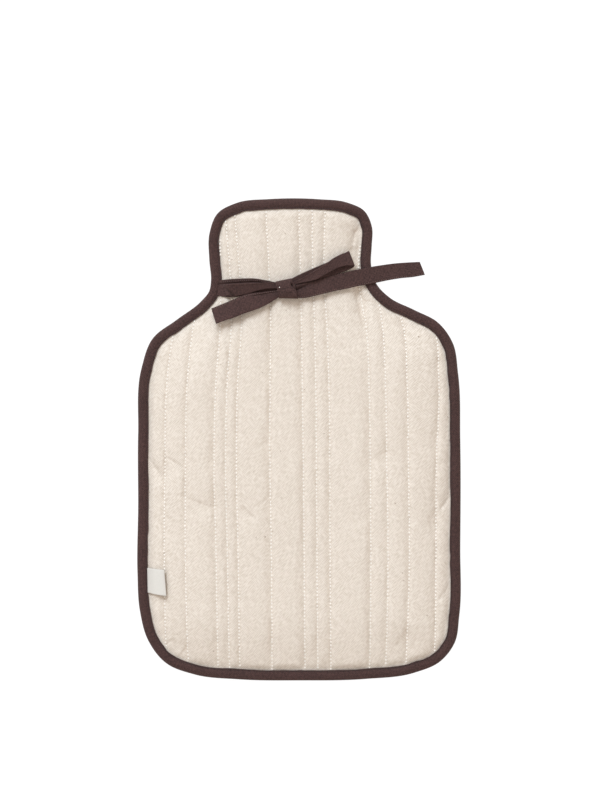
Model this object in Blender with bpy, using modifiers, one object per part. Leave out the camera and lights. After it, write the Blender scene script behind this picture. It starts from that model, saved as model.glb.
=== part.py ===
"""A quilted cotton cover for a hot water bottle, closed at the neck by a ribbon tied in a bow.

Metres, +Z up. The cover lies on its back on the surface z = 0, with its neck towards +Y and its
front face up. X = 0 and Y = 0 are the middle of its width and length. It is a flat bag of two
quilted panels: one bias binding is folded over both along the sides and the bottom, and over the
front panel alone across the neck, where the mouth is. Tables are in millimetres.
"""

import math
from typing import NamedTuple

import bmesh
import bpy
import numpy as np
from mathutils import Matrix, Vector, geometry

MM = 0.001
GAP = 0.3

# Across the seam, from the surface up.
BINDING_CLOTH = 0.9
PANEL_SEWN = 1.7
BACK_SEWN_Z = BINDING_CLOTH + GAP
FRONT_SEWN_Z = BACK_SEWN_Z + PANEL_SEWN + GAP
BINDING_TOP = FRONT_SEWN_Z + PANEL_SEWN + GAP + BINDING_CLOTH
BINDING_CROWN = 0.35

# The binding's fold over the edge: where it stops being flat, and the shoulders of its bend.
BEND_START = 2.0
BEND_SHOULDER = 0.45
SHOULDER_DROP = 1.25
BEND_INSIDE = 1.1
CROWN_AT = 4.4

# Inwards from the cover's outline.
BINDING_WIDTH = 8.0
PANEL_EDGE = 3.0
SEAM_INNER = BINDING_WIDTH + 0.8
PUFF_RUN = 6.5
POCKET_RUN = 55.0

# The quilting: its thickness under a row of stitches, and at the crest of a channel.
STITCHED = 2.0
CREST_LEAST = 3.4
CREST_GAIN = 0.055
WIDEST_GAIN = 24.0
WIDE_CHANNEL = 14.0
CREST_SHARES = (0.22, 0.5, 0.78)
PUFF_POWER = 2.4
BACK_THICKNESS = 3.0
BACK_GROOVE = 1.1
BACK_POWER = 3.0
BACK_FLATNESS = 1.3
FRONT_ROW_PITCH = 15.0
BACK_ROW_PITCH = 26.0
SLIVER = 1.0

# The mouth: the binding leaves the back panel where the neck's corners begin.
SEAM_TOP = 156.0
BACK_LEAVES = 162.0
LIP_RISES = 165.0
LIP_RISEN = 174.0
MOUTH_EDGE = 0.4

# The tie and the label.
TAPE = 1.0
TAPE_STEPS = 3
TAPE_COLUMNS = 3
FALL_RUN = 38.0
LABEL_CLOTH = 0.5
SHARP_TURN = math.radians(40.0)


class OutlinePoint(NamedTuple):
    x: float
    y: float


OUTLINE = [
    OutlinePoint(*row)
    for row in (
        (0.0, -180.5),
        (50.0, -179.4),
        (86.5, -174.8),
        (106.5, -165.9),
        (116.8, -152.6),
        (120.5, -131.5),
        (121.2, -80.0),
        (121.2, 0.0),
        (119.6, 50.0),
        (115.4, 73.5),
        (105.0, 88.0),
        (86.5, 98.0),
        (68.0, 107.3),
        (58.4, 117.2),
        (54.2, 131.5),
        (54.7, 146.0),
        (54.9, 160.0),
        (49.7, 171.4),
        (36.0, 178.0),
        (15.0, 180.2),
        (-22.0, 180.3),
        (-47.0, 177.6),
        (-61.5, 169.8),
        (-67.2, 156.0),
        (-67.4, 135.0),
        (-66.2, 119.5),
        (-67.5, 112.0),
        (-73.2, 104.8),
        (-91.8, 90.6),
        (-110.0, 76.4),
        (-118.4, 54.0),
        (-120.9, 5.0),
        (-120.9, -50.0),
        (-121.4, -100.0),
        (-119.6, -128.0),
        (-113.3, -150.5),
        (-100.0, -167.4),
        (-79.0, -175.9),
        (-45.0, -179.7),
    )
]


class QuiltRow(NamedTuple):
    """One row of stitching: its x where it crosses each of the heights below."""

    foot: float
    lower: float
    middle: float
    upper: float
    shoulder: float
    tie: float
    top: float


QUILT_HEIGHTS = QuiltRow(-170.0, -80.0, -20.0, 45.0, 85.0, 118.0, 170.0)
QUILT_ROWS = [
    QuiltRow(-99.5, -100.8, -100.2, -98.6, -93.5, -86.0, -86.0),
    QuiltRow(-83.0, -84.8, -84.7, -83.2, -79.2, -73.0, -74.0),
    QuiltRow(-60.6, -61.9, -63.3, -61.8, -58.9, -58.6, -60.0),
    QuiltRow(-52.1, -53.4, -54.7, -53.4, -50.7, -51.3, -55.3),
    QuiltRow(-44.3, -45.4, -46.6, -45.6, -43.0, -43.9, -48.2),
    QuiltRow(-20.1, -20.6, -21.6, -21.5, -21.1, -22.0, -24.6),
    QuiltRow(4.5, 3.8, 3.3, 2.5, 1.9, 1.2, 0.1),
    QuiltRow(14.1, 13.4, 13.1, 12.5, 11.8, 10.5, 9.9),
    QuiltRow(23.9, 23.2, 23.0, 22.3, 21.0, 18.8, 19.4),
    QuiltRow(53.1, 53.6, 53.2, 52.2, 50.3, 45.0, 48.5),
    QuiltRow(65.2, 66.4, 65.5, 64.5, 62.3, 55.0, 58.0),
    QuiltRow(80.3, 82.4, 81.6, 80.6, 78.2, 68.0, 70.0),
    QuiltRow(101.8, 102.6, 102.7, 104.7, 101.2, 84.0, 84.0),
]
SIDE_CHANNEL = 12.0


class PocketRow(NamedTuple):
    """How far the front panel stands off the back one, down the middle, at one height."""

    y: float
    height: float


POCKET_ROWS = [
    PocketRow(-181.0, 7.5),
    PocketRow(-120.0, 8.8),
    PocketRow(0.0, 9.5),
    PocketRow(60.0, 8.6),
    PocketRow(95.0, 6.8),
    PocketRow(116.0, 6.4),
    PocketRow(140.0, 7.3),
    PocketRow(181.0, 7.9),
]


class Fold(NamedTuple):
    """A soft trough in the front: its middle, its direction, and its size."""

    x: float
    y: float
    degrees: float
    length: float
    width: float
    depth: float


FOLDS = [
    Fold(43.0, 150.0, 77.0, 36.0, 6.0, 1.7),
    Fold(44.6, 92.0, 90.0, 42.0, 5.5, 1.7),
    Fold(-25.5, 68.0, 88.0, 52.0, 6.0, 1.4),
    Fold(-104.0, -26.0, 45.0, 22.0, 6.0, 1.0),
    Fold(-70.0, -50.0, 25.0, 26.0, 7.0, 1.0),
    Fold(60.0, -14.0, 30.0, 24.0, 7.0, 0.9),
    Fold(105.0, -58.0, 60.0, 34.0, 7.0, 1.2),
    Fold(78.0, -152.0, 40.0, 26.0, 7.0, 1.1),
    Fold(-92.0, -156.0, 140.0, 26.0, 7.0, 1.1),
]


class TapeRow(NamedTuple):
    """A tape where it passes x, y: its height off what lies below, its width and its direction."""

    x: float
    y: float
    rise: float
    width: float
    degrees: float


TIE_ROOT_LEFT = [
    TapeRow(-58.0, 114.4, 0.9, 12.0, 94.0),
    TapeRow(-48.0, 114.9, 0.9, 12.0, 92.0),
    TapeRow(-36.0, 115.3, 0.9, 11.6, 88.0),
    TapeRow(-26.0, 114.4, 1.0, 10.6, 84.0),
    TapeRow(-16.9, 113.4, 1.2, 9.0, 104.0),
]
TIE_ROOT_RIGHT = [
    TapeRow(-1.5, 112.0, 1.2, 8.6, 104.0),
    TapeRow(10.0, 113.6, 1.0, 10.0, 99.0),
    TapeRow(24.0, 116.8, 0.9, 10.4, 101.0),
    TapeRow(36.0, 119.2, 0.9, 10.4, 100.0),
    TapeRow(46.6, 121.2, 0.9, 10.4, 100.0),
]
TIE_END_LEFT = [
    TapeRow(-16.3, 110.6, 2.6, 7.0, 104.0),
    TapeRow(-28.0, 105.8, 2.4, 10.6, 94.0),
    TapeRow(-40.0, 101.4, 1.7, 12.4, 96.0),
    TapeRow(-52.0, 97.0, 1.0, 12.8, 104.0),
    TapeRow(-63.6, 92.9, 1.1, 12.9, 108.0),
]
TIE_END_RIGHT = [
    TapeRow(-1.1, 111.0, 2.6, 8.6, 104.0),
    TapeRow(12.0, 113.6, 2.4, 12.0, 104.0),
    TapeRow(24.0, 117.0, 2.4, 13.0, 106.0),
    TapeRow(36.0, 120.0, 2.4, 12.8, 104.0),
    TapeRow(50.0, 122.8, 3.0, 12.4, 101.0),
    TapeRow(64.5, 125.3, 2.2, 11.8, 101.0),
    TapeRow(79.5, 127.6, 1.4, 11.4, 104.0),
    TapeRow(92.8, 128.9, 1.2, 11.2, 109.0),
]
LOOP_LEFT = [
    TapeRow(-17.3, 116.2, 6.0, 4.8, 104.0),
    TapeRow(-28.0, 115.4, 6.2, 8.6, 88.0),
    TapeRow(-40.0, 114.4, 5.8, 10.6, 94.0),
    TapeRow(-50.4, 113.2, 5.2, 11.0, 118.0),
    TapeRow(-52.8, 112.6, 4.1, 11.0, 122.0),
    TapeRow(-50.0, 113.0, 3.1, 11.0, 118.0),
    TapeRow(-40.0, 114.0, 3.0, 10.6, 94.0),
    TapeRow(-28.0, 114.8, 3.9, 8.4, 88.0),
    TapeRow(-17.2, 115.6, 4.0, 4.6, 104.0),
]
LOOP_RIGHT = [
    TapeRow(-3.1, 118.6, 6.0, 7.2, 104.0),
    TapeRow(5.5, 121.8, 6.4, 8.2, 84.0),
    TapeRow(15.0, 126.2, 6.6, 9.0, 72.0),
    TapeRow(25.4, 131.4, 6.2, 10.4, 72.0),
    TapeRow(37.4, 135.8, 4.8, 12.6, 106.0),
    TapeRow(39.6, 136.2, 3.4, 12.6, 110.0),
    TapeRow(37.0, 134.8, 2.2, 12.6, 104.0),
    TapeRow(25.4, 130.0, 2.8, 10.4, 72.0),
    TapeRow(15.0, 125.0, 3.8, 9.0, 72.0),
    TapeRow(5.5, 120.8, 4.2, 8.2, 84.0),
    TapeRow(-3.0, 118.0, 4.2, 7.0, 104.0),
]
KNOT_AT = Vector((-9.4, 113.9))
KNOT_SIZE = Vector((12.8, 15.4, 7.4))
KNOT_TURN = math.radians(14.0)
KNOT_FOOT = 0.5
KNOT_ROUND = 2.2

LABEL_ROWS = [
    TapeRow(-112.4, -105.0, 1.7, 19.3, 92.0),
    TapeRow(-106.5, -105.6, 2.2, 19.4, 93.0),
    TapeRow(-101.0, -106.2, 2.6, 19.5, 94.0),
    TapeRow(-99.9, -106.3, 2.05, 19.5, 94.5),
    TapeRow(-101.2, -106.2, 1.5, 19.5, 94.0),
    TapeRow(-106.5, -105.6, 1.1, 19.4, 93.0),
    TapeRow(-112.4, -105.0, 0.6, 19.3, 92.0),
]


class Finish(NamedTuple):
    red: float
    green: float
    blue: float
    roughness: float


QUILTED_COTTON = Finish(0.84, 0.76, 0.64, 0.9)
BROWN_COTTON = Finish(0.075, 0.045, 0.04, 0.85)
LABEL_TAPE = Finish(0.78, 0.76, 0.7, 0.8)


def clear_scene():
    """Remove whatever the opened file holds."""
    for obj in list(bpy.data.objects):
        bpy.data.objects.remove(obj, do_unlink=True)


def make_material(name, finish):
    """A plain cloth material of one colour."""
    material = bpy.data.materials.new(name)
    material.use_nodes = True
    shader = material.node_tree.nodes["Principled BSDF"]
    shader.inputs["Base Color"].default_value = (finish.red, finish.green, finish.blue, 1.0)
    shader.inputs["Roughness"].default_value = finish.roughness
    shader.inputs["Metallic"].default_value = 0.0
    return material


def ease(start, end, value):
    """0 before start, 1 after end, and a smooth step between them."""
    t = min(max((value - start) / (end - start), 0.0), 1.0)
    return t * t * (3.0 - 2.0 * t)


def smooth_through(knots, values, at):
    """A smooth curve through the values at the knots, read at one place."""
    knots = np.asarray(knots, float)
    values = np.asarray(values, float)
    slopes = np.gradient(values, knots, axis=0)
    at = min(max(at, knots[0]), knots[-1])
    low = min(int(np.searchsorted(knots, at, side="right")) - 1, len(knots) - 2)
    span = knots[low + 1] - knots[low]
    t = (at - knots[low]) / span
    rise = t * t * (3.0 - 2.0 * t)
    return (
        values[low] * (1.0 - rise)
        + values[low + 1] * rise
        + slopes[low] * span * t * (1.0 - t) ** 2
        - slopes[low + 1] * span * t * t * (1.0 - t)
    )


class Outline:
    """The cover's edge as a ring of stations, each with its inward direction."""

    TURN_STEP = math.radians(10.0)
    LONGEST_STEP = 22.0

    def __init__(self):
        corners = [Vector((point.x, point.y, 0.0)) for point in OUTLINE]
        directions = [self.direction(corners, index) for index in range(len(corners))]
        stations = []
        for index, start in enumerate(corners):
            after = (index + 1) % len(corners)
            end = corners[after]
            reach = (end - start).length / 3.0
            turn = directions[index].angle(directions[after])
            steps = max(1, math.ceil(turn / self.TURN_STEP), math.ceil(3.0 * reach / self.LONGEST_STEP))
            stations += geometry.interpolate_bezier(
                start,
                start + directions[index] * reach,
                end - directions[after] * reach,
                end,
                steps + 1,
            )[:-1]
        self.points = np.array([point.to_2d() for point in stations])
        along = np.roll(self.points, -1, axis=0) - np.roll(self.points, 1, axis=0)
        along /= np.linalg.norm(along, axis=1)[:, None]
        self.inward = np.stack([-along[:, 1], along[:, 0]], axis=1)

    @staticmethod
    def direction(corners, index):
        """The way the edge runs at a corner: the nearer neighbour counts for more."""
        before = corners[index] - corners[index - 1]
        after = corners[(index + 1) % len(corners)] - corners[index]
        return (before / before.length_squared + after / after.length_squared).normalized()

    def offset(self, depth):
        """The ring moved inwards."""
        return self.points + self.inward * depth

    def nearest(self, x, y, sewn_only=False):
        """How deep a point lies inside the edge, and the inward direction there."""
        point = np.array((x, y))
        starts = self.points
        runs = np.roll(starts, -1, axis=0) - starts
        share = ((point - starts) * runs).sum(axis=1) / (runs * runs).sum(axis=1)
        share = np.clip(share, 0.0, 1.0)
        closest = starts + runs * share[:, None]
        away = np.linalg.norm(point - closest, axis=1)
        if sewn_only:
            away = np.where(closest[:, 1] > SEAM_TOP, np.inf, away)
        index = int(np.argmin(away))
        after = (index + 1) % len(starts)
        inward = self.inward[index] * (1.0 - share[index]) + self.inward[after] * share[index]
        inward /= np.linalg.norm(inward)
        side = float(np.dot(point - closest[index], inward))
        return math.copysign(float(away[index]), side), inward


EDGE = Outline()


def quilt_positions(y):
    """Where the rows of stitching cross a height, with one more line past each outer row."""
    rows = smooth_through(QUILT_HEIGHTS, np.array(QUILT_ROWS).T, y)
    return np.concatenate([[rows[0] - SIDE_CHANNEL], rows, [rows[-1] + SIDE_CHANNEL]])


FLAT_ROWS = quilt_positions(QUILT_HEIGHTS.middle)


def to_flat(x, y):
    """Where a point lay across the cloth while the rows of stitching were straight."""
    rows = quilt_positions(y)
    inside = float(np.interp(x, rows, FLAT_ROWS))
    return inside + min(x - rows[0], 0.0) + max(x - rows[-1], 0.0)


def from_flat(flat, y):
    """The x of a point of the straight cloth once the tie has drawn it in."""
    rows = quilt_positions(y)
    inside = float(np.interp(flat, FLAT_ROWS, rows))
    return inside + min(flat - FLAT_ROWS[0], 0.0) + max(flat - FLAT_ROWS[-1], 0.0)


def channel(flat):
    """The share of the way across its channel, and the channel's width."""
    index = min(max(int(np.searchsorted(FLAT_ROWS, flat)), 1), len(FLAT_ROWS) - 1)
    width = FLAT_ROWS[index] - FLAT_ROWS[index - 1]
    return min(max((flat - FLAT_ROWS[index - 1]) / width, 0.0), 1.0), width


def crest_of(width):
    """The quilting's thickness at the crest of a channel."""
    return CREST_LEAST + CREST_GAIN * min(width, WIDEST_GAIN)


def quilt_thickness(x, y):
    """The front's thickness: least under the stitches, most between them."""
    share, width = channel(to_flat(x, y))
    puff = 1.0 - abs(2.0 * share - 1.0) ** PUFF_POWER
    return STITCHED + (crest_of(width) - STITCHED) * puff


def sag(x, y):
    """How far the folds pull the front down."""
    depth = 0.0
    for fold in FOLDS:
        turn = math.radians(fold.degrees)
        along = (x - fold.x) * math.cos(turn) + (y - fold.y) * math.sin(turn)
        across = -(x - fold.x) * math.sin(turn) + (y - fold.y) * math.cos(turn)
        fade = math.exp(-((2.0 * along / fold.length) ** 4))
        depth += fold.depth * fade * math.exp(-((across / fold.width) ** 2))
    return depth


def pocket(x, y):
    """How far the front's underside stands off its height in the seam."""
    depth, inward = EDGE.nearest(x, y)
    if depth < SEAM_INNER:
        x, y = np.array((x, y)) + inward * (SEAM_INNER - depth)
    sewn, _ = EDGE.nearest(x, y, sewn_only=True)
    free = min(max((abs(sewn) - SEAM_INNER) / POCKET_RUN, 0.0), 1.0)
    height = smooth_through([row.y for row in POCKET_ROWS], [row.height for row in POCKET_ROWS], y)
    bulge = height * (1.0 - (1.0 - free) ** 2)
    return float(max(bulge - min(sag(x, y), 0.5 * bulge), 0.0))


def puffed(x, y):
    """0 in the seam, 1 where the wadding has its whole thickness."""
    depth, _ = EDGE.nearest(x, y)
    return ease(SEAM_INNER - 0.1, SEAM_INNER + PUFF_RUN, depth)


def front_under(x, y):
    """The underside of the front panel."""
    return FRONT_SEWN_Z + pocket(x, y)


def front_top(x, y):
    """The face of the front panel."""
    loft = PANEL_SEWN + (quilt_thickness(x, y) - PANEL_SEWN) * puffed(x, y)
    return front_under(x, y) + loft


def back_under(x, y):
    """The face of the back panel, which lies on the surface."""
    share, _ = channel(to_flat(x, y))
    crest = BACK_FLATNESS * (1.0 - abs(2.0 * share - 1.0) ** BACK_POWER)
    groove = BACK_GROOVE * max(1.0 - crest, 0.0)
    return BACK_SEWN_Z + (groove - BACK_SEWN_Z) * puffed(x, y)


def back_top(x, y):
    """The inner side of the back panel."""
    return BACK_SEWN_Z + PANEL_SEWN + (BACK_THICKNESS - BACK_SEWN_Z - PANEL_SEWN) * puffed(x, y)


def ground(x, y):
    """What a tape lies on: the crests of the front, the binding, and past it the surface."""
    depth, _ = EDGE.nearest(x, y)
    if depth < SEAM_INNER:
        crown = BINDING_TOP + BINDING_CROWN + pocket(x, y)
        return crown * (1.0 - ease(0.0, FALL_RUN, -depth))
    crest = crest_of(WIDEST_GAIN)
    return front_under(x, y) + PANEL_SEWN + (crest - PANEL_SEWN) * puffed(x, y)


def add_object(name, mesh_builder, material):
    """Turn a bmesh in millimetres into an object in metres."""
    bmesh.ops.scale(mesh_builder, vec=(MM, MM, MM), verts=mesh_builder.verts)
    mesh = bpy.data.meshes.new(name)
    mesh_builder.to_mesh(mesh)
    mesh_builder.free()
    mesh.materials.append(material)
    mesh.shade_smooth()
    mesh.set_sharp_from_angle(angle=SHARP_TURN)
    obj = bpy.data.objects.new(name, mesh)
    COVER.objects.link(obj)
    return obj


def cut_along(panel, point, normal):
    """Cut a flat panel along one straight line, keeping both sides."""
    whole = list(panel.verts) + list(panel.edges) + list(panel.faces)
    bmesh.ops.bisect_plane(panel, geom=whole, dist=1e-4, plane_co=point, plane_no=normal)


def channel_cuts():
    """Where the straight cloth is cut: at each row of stitches and at the crests between."""
    cuts = []
    for left, right in zip(FLAT_ROWS[:-1], FLAT_ROWS[1:]):
        shares = CREST_SHARES if right - left > WIDE_CHANNEL else (0.5,)
        cuts += [left] + [left + share * (right - left) for share in shares]
    return cuts[1:]


def quilted_panel(name, row_pitch, under, top, reach, material):
    """A panel whose thickness follows the quilting.

    The cloth is cut as if its rows of stitching were straight and then drawn in with them. Its
    seam allowance is extruded from its sewn line, and reach says how far out it goes at a height.
    """
    panel = bmesh.new()
    ring = [panel.verts.new((to_flat(x, y), y, 0.0)) for x, y in EDGE.offset(SEAM_INNER)]
    panel.faces.new(ring)
    for cut in channel_cuts():
        cut_along(panel, (cut, 0.0, 0.0), (1.0, 0.0, 0.0))
    lowest = min(vert.co.y for vert in panel.verts)
    for row in range(1, int((EDGE.points[:, 1].max() - lowest) / row_pitch)):
        cut_along(panel, (0.0, lowest + row * row_pitch, 0.0), (0.0, 1.0, 0.0))
    for vert in panel.verts:
        vert.co.x = from_flat(vert.co.x, vert.co.y)
    bmesh.ops.remove_doubles(panel, verts=panel.verts, dist=SLIVER)

    rim = [edge for edge in panel.edges if edge.is_boundary]
    allowance = bmesh.ops.extrude_edge_only(panel, edges=rim)["geom"]
    for vert in allowance:
        if isinstance(vert, bmesh.types.BMVert):
            depth, inward = EDGE.nearest(vert.co.x, vert.co.y)
            x, y = vert.co.to_2d() - Vector(inward) * (depth - reach(vert.co.y))
            vert.co.x, vert.co.y = x, y

    bmesh.ops.triangulate(panel, faces=panel.faces, quad_method="BEAUTY", ngon_method="BEAUTY")
    raised = bmesh.ops.extrude_face_region(panel, geom=list(panel.faces))["geom"]
    upper = {vert for vert in raised if isinstance(vert, bmesh.types.BMVert)}
    for vert in panel.verts:
        vert.co.z = (top if vert in upper else under)(vert.co.x, vert.co.y)
    bmesh.ops.recalc_face_normals(panel, faces=panel.faces)
    return add_object(name, panel, material)


def front_reach(_y):
    """The front's allowance reaches into the binding all round."""
    return PANEL_EDGE


def back_reach(y):
    """The back's allowance reaches into the binding up to the neck's corners."""
    free_edge = BINDING_WIDTH + MOUTH_EDGE
    return PANEL_EDGE + (free_edge - PANEL_EDGE) * ease(SEAM_TOP, BACK_LEAVES, y)


def binding_section(lip, cover):
    """The binding folded over the edge: distance inwards and height, from lip to lip.

    lip is the height of its lower lip, cover that of its upper face at the inner edge.
    """
    middle = 0.5 * (lip + cover)
    crown = cover + BINDING_CROWN
    bend_within = BEND_START + BEND_SHOULDER
    return [
        (BINDING_WIDTH, cover),
        (CROWN_AT, crown),
        (BEND_START, cover),
        (BEND_SHOULDER, cover - SHOULDER_DROP),
        (0.0, middle),
        (BEND_SHOULDER, lip + SHOULDER_DROP),
        (BEND_START, lip),
        (BINDING_WIDTH, lip),
        (BINDING_WIDTH, lip + BINDING_CLOTH),
        (bend_within, lip + BINDING_CLOTH),
        (BEND_INSIDE, middle),
        (bend_within, cover - BINDING_CLOTH),
        (CROWN_AT, crown - BINDING_CLOTH),
        (BINDING_WIDTH, cover - BINDING_CLOTH),
    ]


def edge_binding(material):
    """The binding: its section carried round the edge, lifted with the front at the mouth."""
    binding = bmesh.new()
    rings = []
    for point, inward in zip(EDGE.points, EDGE.inward):
        lift = pocket(*point)
        free_lip = FRONT_SEWN_Z - GAP - BINDING_CLOTH + lift
        lip = free_lip * ease(LIP_RISES, LIP_RISEN, point[1])
        section = binding_section(lip, BINDING_TOP + lift)
        rings.append([binding.verts.new((*(point + inward * depth), z)) for depth, z in section])
    for ring, following in zip(rings, rings[1:] + rings[:1]):
        for index in range(len(ring)):
            after = (index + 1) % len(ring)
            binding.faces.new((ring[index], ring[after], following[after], following[index]))
    bmesh.ops.triangulate(binding, faces=binding.faces)
    bmesh.ops.recalc_face_normals(binding, faces=binding.faces)
    return add_object("edge_binding", binding, material)


def tape(name, rows, cloth, material):
    """A strip of tape: a grid laid along its rows, thickened by Solidify."""
    strip = bmesh.new()
    bmesh.ops.create_grid(
        strip,
        x_segments=(len(rows) - 1) * TAPE_STEPS,
        y_segments=TAPE_COLUMNS,
        size=0.5,
    )
    for vert in strip.verts:
        along = (vert.co.x + 0.5) * (len(rows) - 1)
        row = TapeRow(*smooth_through(range(len(rows)), rows, along))
        turn = math.radians(row.degrees)
        x = row.x + row.width * vert.co.y * math.cos(turn)
        y = row.y + row.width * vert.co.y * math.sin(turn)
        vert.co = (x, y, ground(x, y) + row.rise)
    obj = add_object(name, strip, material)
    solid = obj.modifiers.new("cloth", "SOLIDIFY")
    solid.thickness = cloth * MM
    solid.offset = 0.0
    solid.use_even_offset = True
    return obj


def bow_knot(material):
    """The knot's band: a rounded cushion of cloth over the crossing."""
    knot = bmesh.new()
    bmesh.ops.create_cube(knot, size=1.0)
    bmesh.ops.scale(knot, vec=(*KNOT_SIZE,), verts=knot.verts)
    bmesh.ops.bevel(
        knot,
        geom=knot.edges,
        offset=KNOT_ROUND,
        segments=2,
        affect="EDGES",
        profile=0.5,
        material=-1,
    )
    foot = ground(*KNOT_AT) + KNOT_FOOT + 0.5 * KNOT_SIZE.z
    place = Matrix.Translation((*KNOT_AT, foot)) @ Matrix.Rotation(KNOT_TURN, 4, "Z")
    bmesh.ops.transform(knot, matrix=place, verts=knot.verts)
    return add_object("bow_knot", knot, material)


clear_scene()
COVER = bpy.data.collections.new("hot_water_bottle_cover")
bpy.context.scene.collection.children.link(COVER)

COTTON = make_material("quilted_cotton", QUILTED_COTTON)
BROWN = make_material("brown_cotton", BROWN_COTTON)
LABEL = make_material("label_tape", LABEL_TAPE)

quilted_panel("front_panel", FRONT_ROW_PITCH, front_under, front_top, front_reach, COTTON)
quilted_panel("back_panel", BACK_ROW_PITCH, back_under, back_top, back_reach, COTTON)
edge_binding(BROWN)
tape("tie_root_left", TIE_ROOT_LEFT, TAPE, BROWN)
tape("tie_root_right", TIE_ROOT_RIGHT, TAPE, BROWN)
tape("tie_end_left", TIE_END_LEFT, TAPE, BROWN)
tape("tie_end_right", TIE_END_RIGHT, TAPE, BROWN)
tape("bow_loop_left", LOOP_LEFT, TAPE, BROWN)
tape("bow_loop_right", LOOP_RIGHT, TAPE, BROWN)
bow_knot(BROWN)
tape("label_tab", LABEL_ROWS, LABEL_CLOTH, LABEL)
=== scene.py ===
"""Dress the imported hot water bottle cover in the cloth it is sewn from.

Two quilted cotton panels, a bias binding, a cotton ribbon tied in a bow and a folded label.
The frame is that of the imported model, in metres: the cover lies on its back on z = 0 with its
neck towards +Y. Tables and sizes here are in millimetres, and meshes are scaled at the end.
"""

import logging
import math
from dataclasses import dataclass, field
from enum import Enum
from typing import Callable, NamedTuple, Sequence

import bmesh
import bpy
import numpy as np
from mathutils import Matrix, Vector, geometry


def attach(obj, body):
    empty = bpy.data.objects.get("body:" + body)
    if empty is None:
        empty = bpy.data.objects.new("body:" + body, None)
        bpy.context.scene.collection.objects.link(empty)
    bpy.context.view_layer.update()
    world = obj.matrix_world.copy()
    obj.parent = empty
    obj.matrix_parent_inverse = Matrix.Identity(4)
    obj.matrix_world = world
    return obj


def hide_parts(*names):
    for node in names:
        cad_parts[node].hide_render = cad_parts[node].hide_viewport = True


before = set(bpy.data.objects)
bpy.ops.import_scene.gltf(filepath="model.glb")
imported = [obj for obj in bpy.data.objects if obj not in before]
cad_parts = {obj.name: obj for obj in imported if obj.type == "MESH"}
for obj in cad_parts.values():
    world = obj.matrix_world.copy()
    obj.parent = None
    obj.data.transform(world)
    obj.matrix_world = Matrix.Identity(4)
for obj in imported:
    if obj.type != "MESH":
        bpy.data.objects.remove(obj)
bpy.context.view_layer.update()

Array = np.ndarray
Colour = tuple[float, float, float, float]

LOG = logging.getLogger("cover")
MM = 0.001
BODY = "root"
CLOTH_MAP = "cloth"

GAP = 0.3
BINDING_CLOTH = 0.9
PANEL_SEWN = 1.7
BACK_SEWN_Z = BINDING_CLOTH + GAP
FRONT_SEWN_Z = BACK_SEWN_Z + PANEL_SEWN + GAP
BINDING_TOP = FRONT_SEWN_Z + PANEL_SEWN + GAP + BINDING_CLOTH
BINDING_CROWN = 0.35
BINDING_WIDTH = 8.0
PANEL_EDGE = 3.0
SEAM_INNER = BINDING_WIDTH + 0.8
SEAM_TOP = 156.0
BACK_LEAVES = 162.0
LIP_RISES = 165.0
LIP_RISEN = 174.0
MOUTH_EDGE = 0.4


class Slot(Enum):
    """The record's material slots."""

    COTTON = "quilted_cotton"
    BROWN = "brown_cotton"
    LABEL = "label_tape"


class Hold(Enum):
    """How a sheet of cloth is held."""

    LAID = "laid"
    FOLDED = "folded"
    DRAPED = "draped"


# ---- Curves, noise and the cover's outline ----


def ease(start: float, end: float, value: Array) -> Array:
    """Step smoothly from 0 before start to 1 after end.

    Args:
        start: where the step begins.
        end: where it ends.
        value: the places to read.

    Returns:
        The step's height at each place.
    """
    t = np.clip((np.asarray(value, float) - start) / (end - start), 0.0, 1.0)
    return t * t * (3.0 - 2.0 * t)


def bell(offset: Array, width: float) -> Array:
    """A soft hump of the given half width, 1 in the middle."""
    return np.exp(-((offset / width) ** 2))


def smooth_through(knots: Sequence[float], values: Sequence, at: Array) -> Array:
    """Read a smooth curve through the values at the knots.

    Args:
        knots: rising places.
        values: a number or a row of numbers at each knot.
        at: the places to read.

    Returns:
        One number or row for each place.
    """
    knots = np.asarray(knots, float)
    values = np.asarray(values, float)
    slopes = np.gradient(values, knots, axis=0)
    at = np.clip(np.asarray(at, float), knots[0], knots[-1])
    low = np.clip(np.searchsorted(knots, at, side="right") - 1, 0, len(knots) - 2)
    span = knots[low + 1] - knots[low]
    t = (at - knots[low]) / span
    wide = t.shape + (1,) * (values.ndim - 1)
    t, span = t.reshape(wide), span.reshape(wide)
    rise = t * t * (3.0 - 2.0 * t)
    return (
        values[low] * (1.0 - rise)
        + values[low + 1] * rise
        + slopes[low] * span * t * (1.0 - t) ** 2
        - slopes[low + 1] * span * t * t * (1.0 - t)
    )


def rows_of(kind: type, *rows: Sequence[float]) -> tuple:
    """Rows of numbers as named rows of one kind."""
    return tuple(kind(*row) for row in rows)


class SoftNoise:
    """Smooth seeded noise over a plane, from -1 to 1."""

    LATTICE = 64

    def __init__(self, seed: int) -> None:
        """Draw the lattice for one seed."""
        self.values = np.random.default_rng(seed).uniform(-1.0, 1.0, (self.LATTICE,) * 2)

    def __call__(self, u: Array, v: Array) -> Array:
        """Read the noise.

        Args:
            u: first coordinate, one unit for each lattice step.
            v: second coordinate.

        Returns:
            The noise at each place.
        """
        u, v = np.broadcast_arrays(np.asarray(u, float), np.asarray(v, float))
        across, up = np.floor(u).astype(int), np.floor(v).astype(int)
        s, t = u - across, v - up
        s, t = s * s * (3.0 - 2.0 * s), t * t * (3.0 - 2.0 * t)

        def corner(right: int, top: int) -> Array:
            """The lattice value at one corner of each place's square."""
            return self.values[(across + right) % self.LATTICE, (up + top) % self.LATTICE]

        lower = corner(0, 0) * (1.0 - s) + corner(1, 0) * s
        upper = corner(0, 1) * (1.0 - s) + corner(1, 1) * s
        return lower * (1.0 - t) + upper * t


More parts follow.
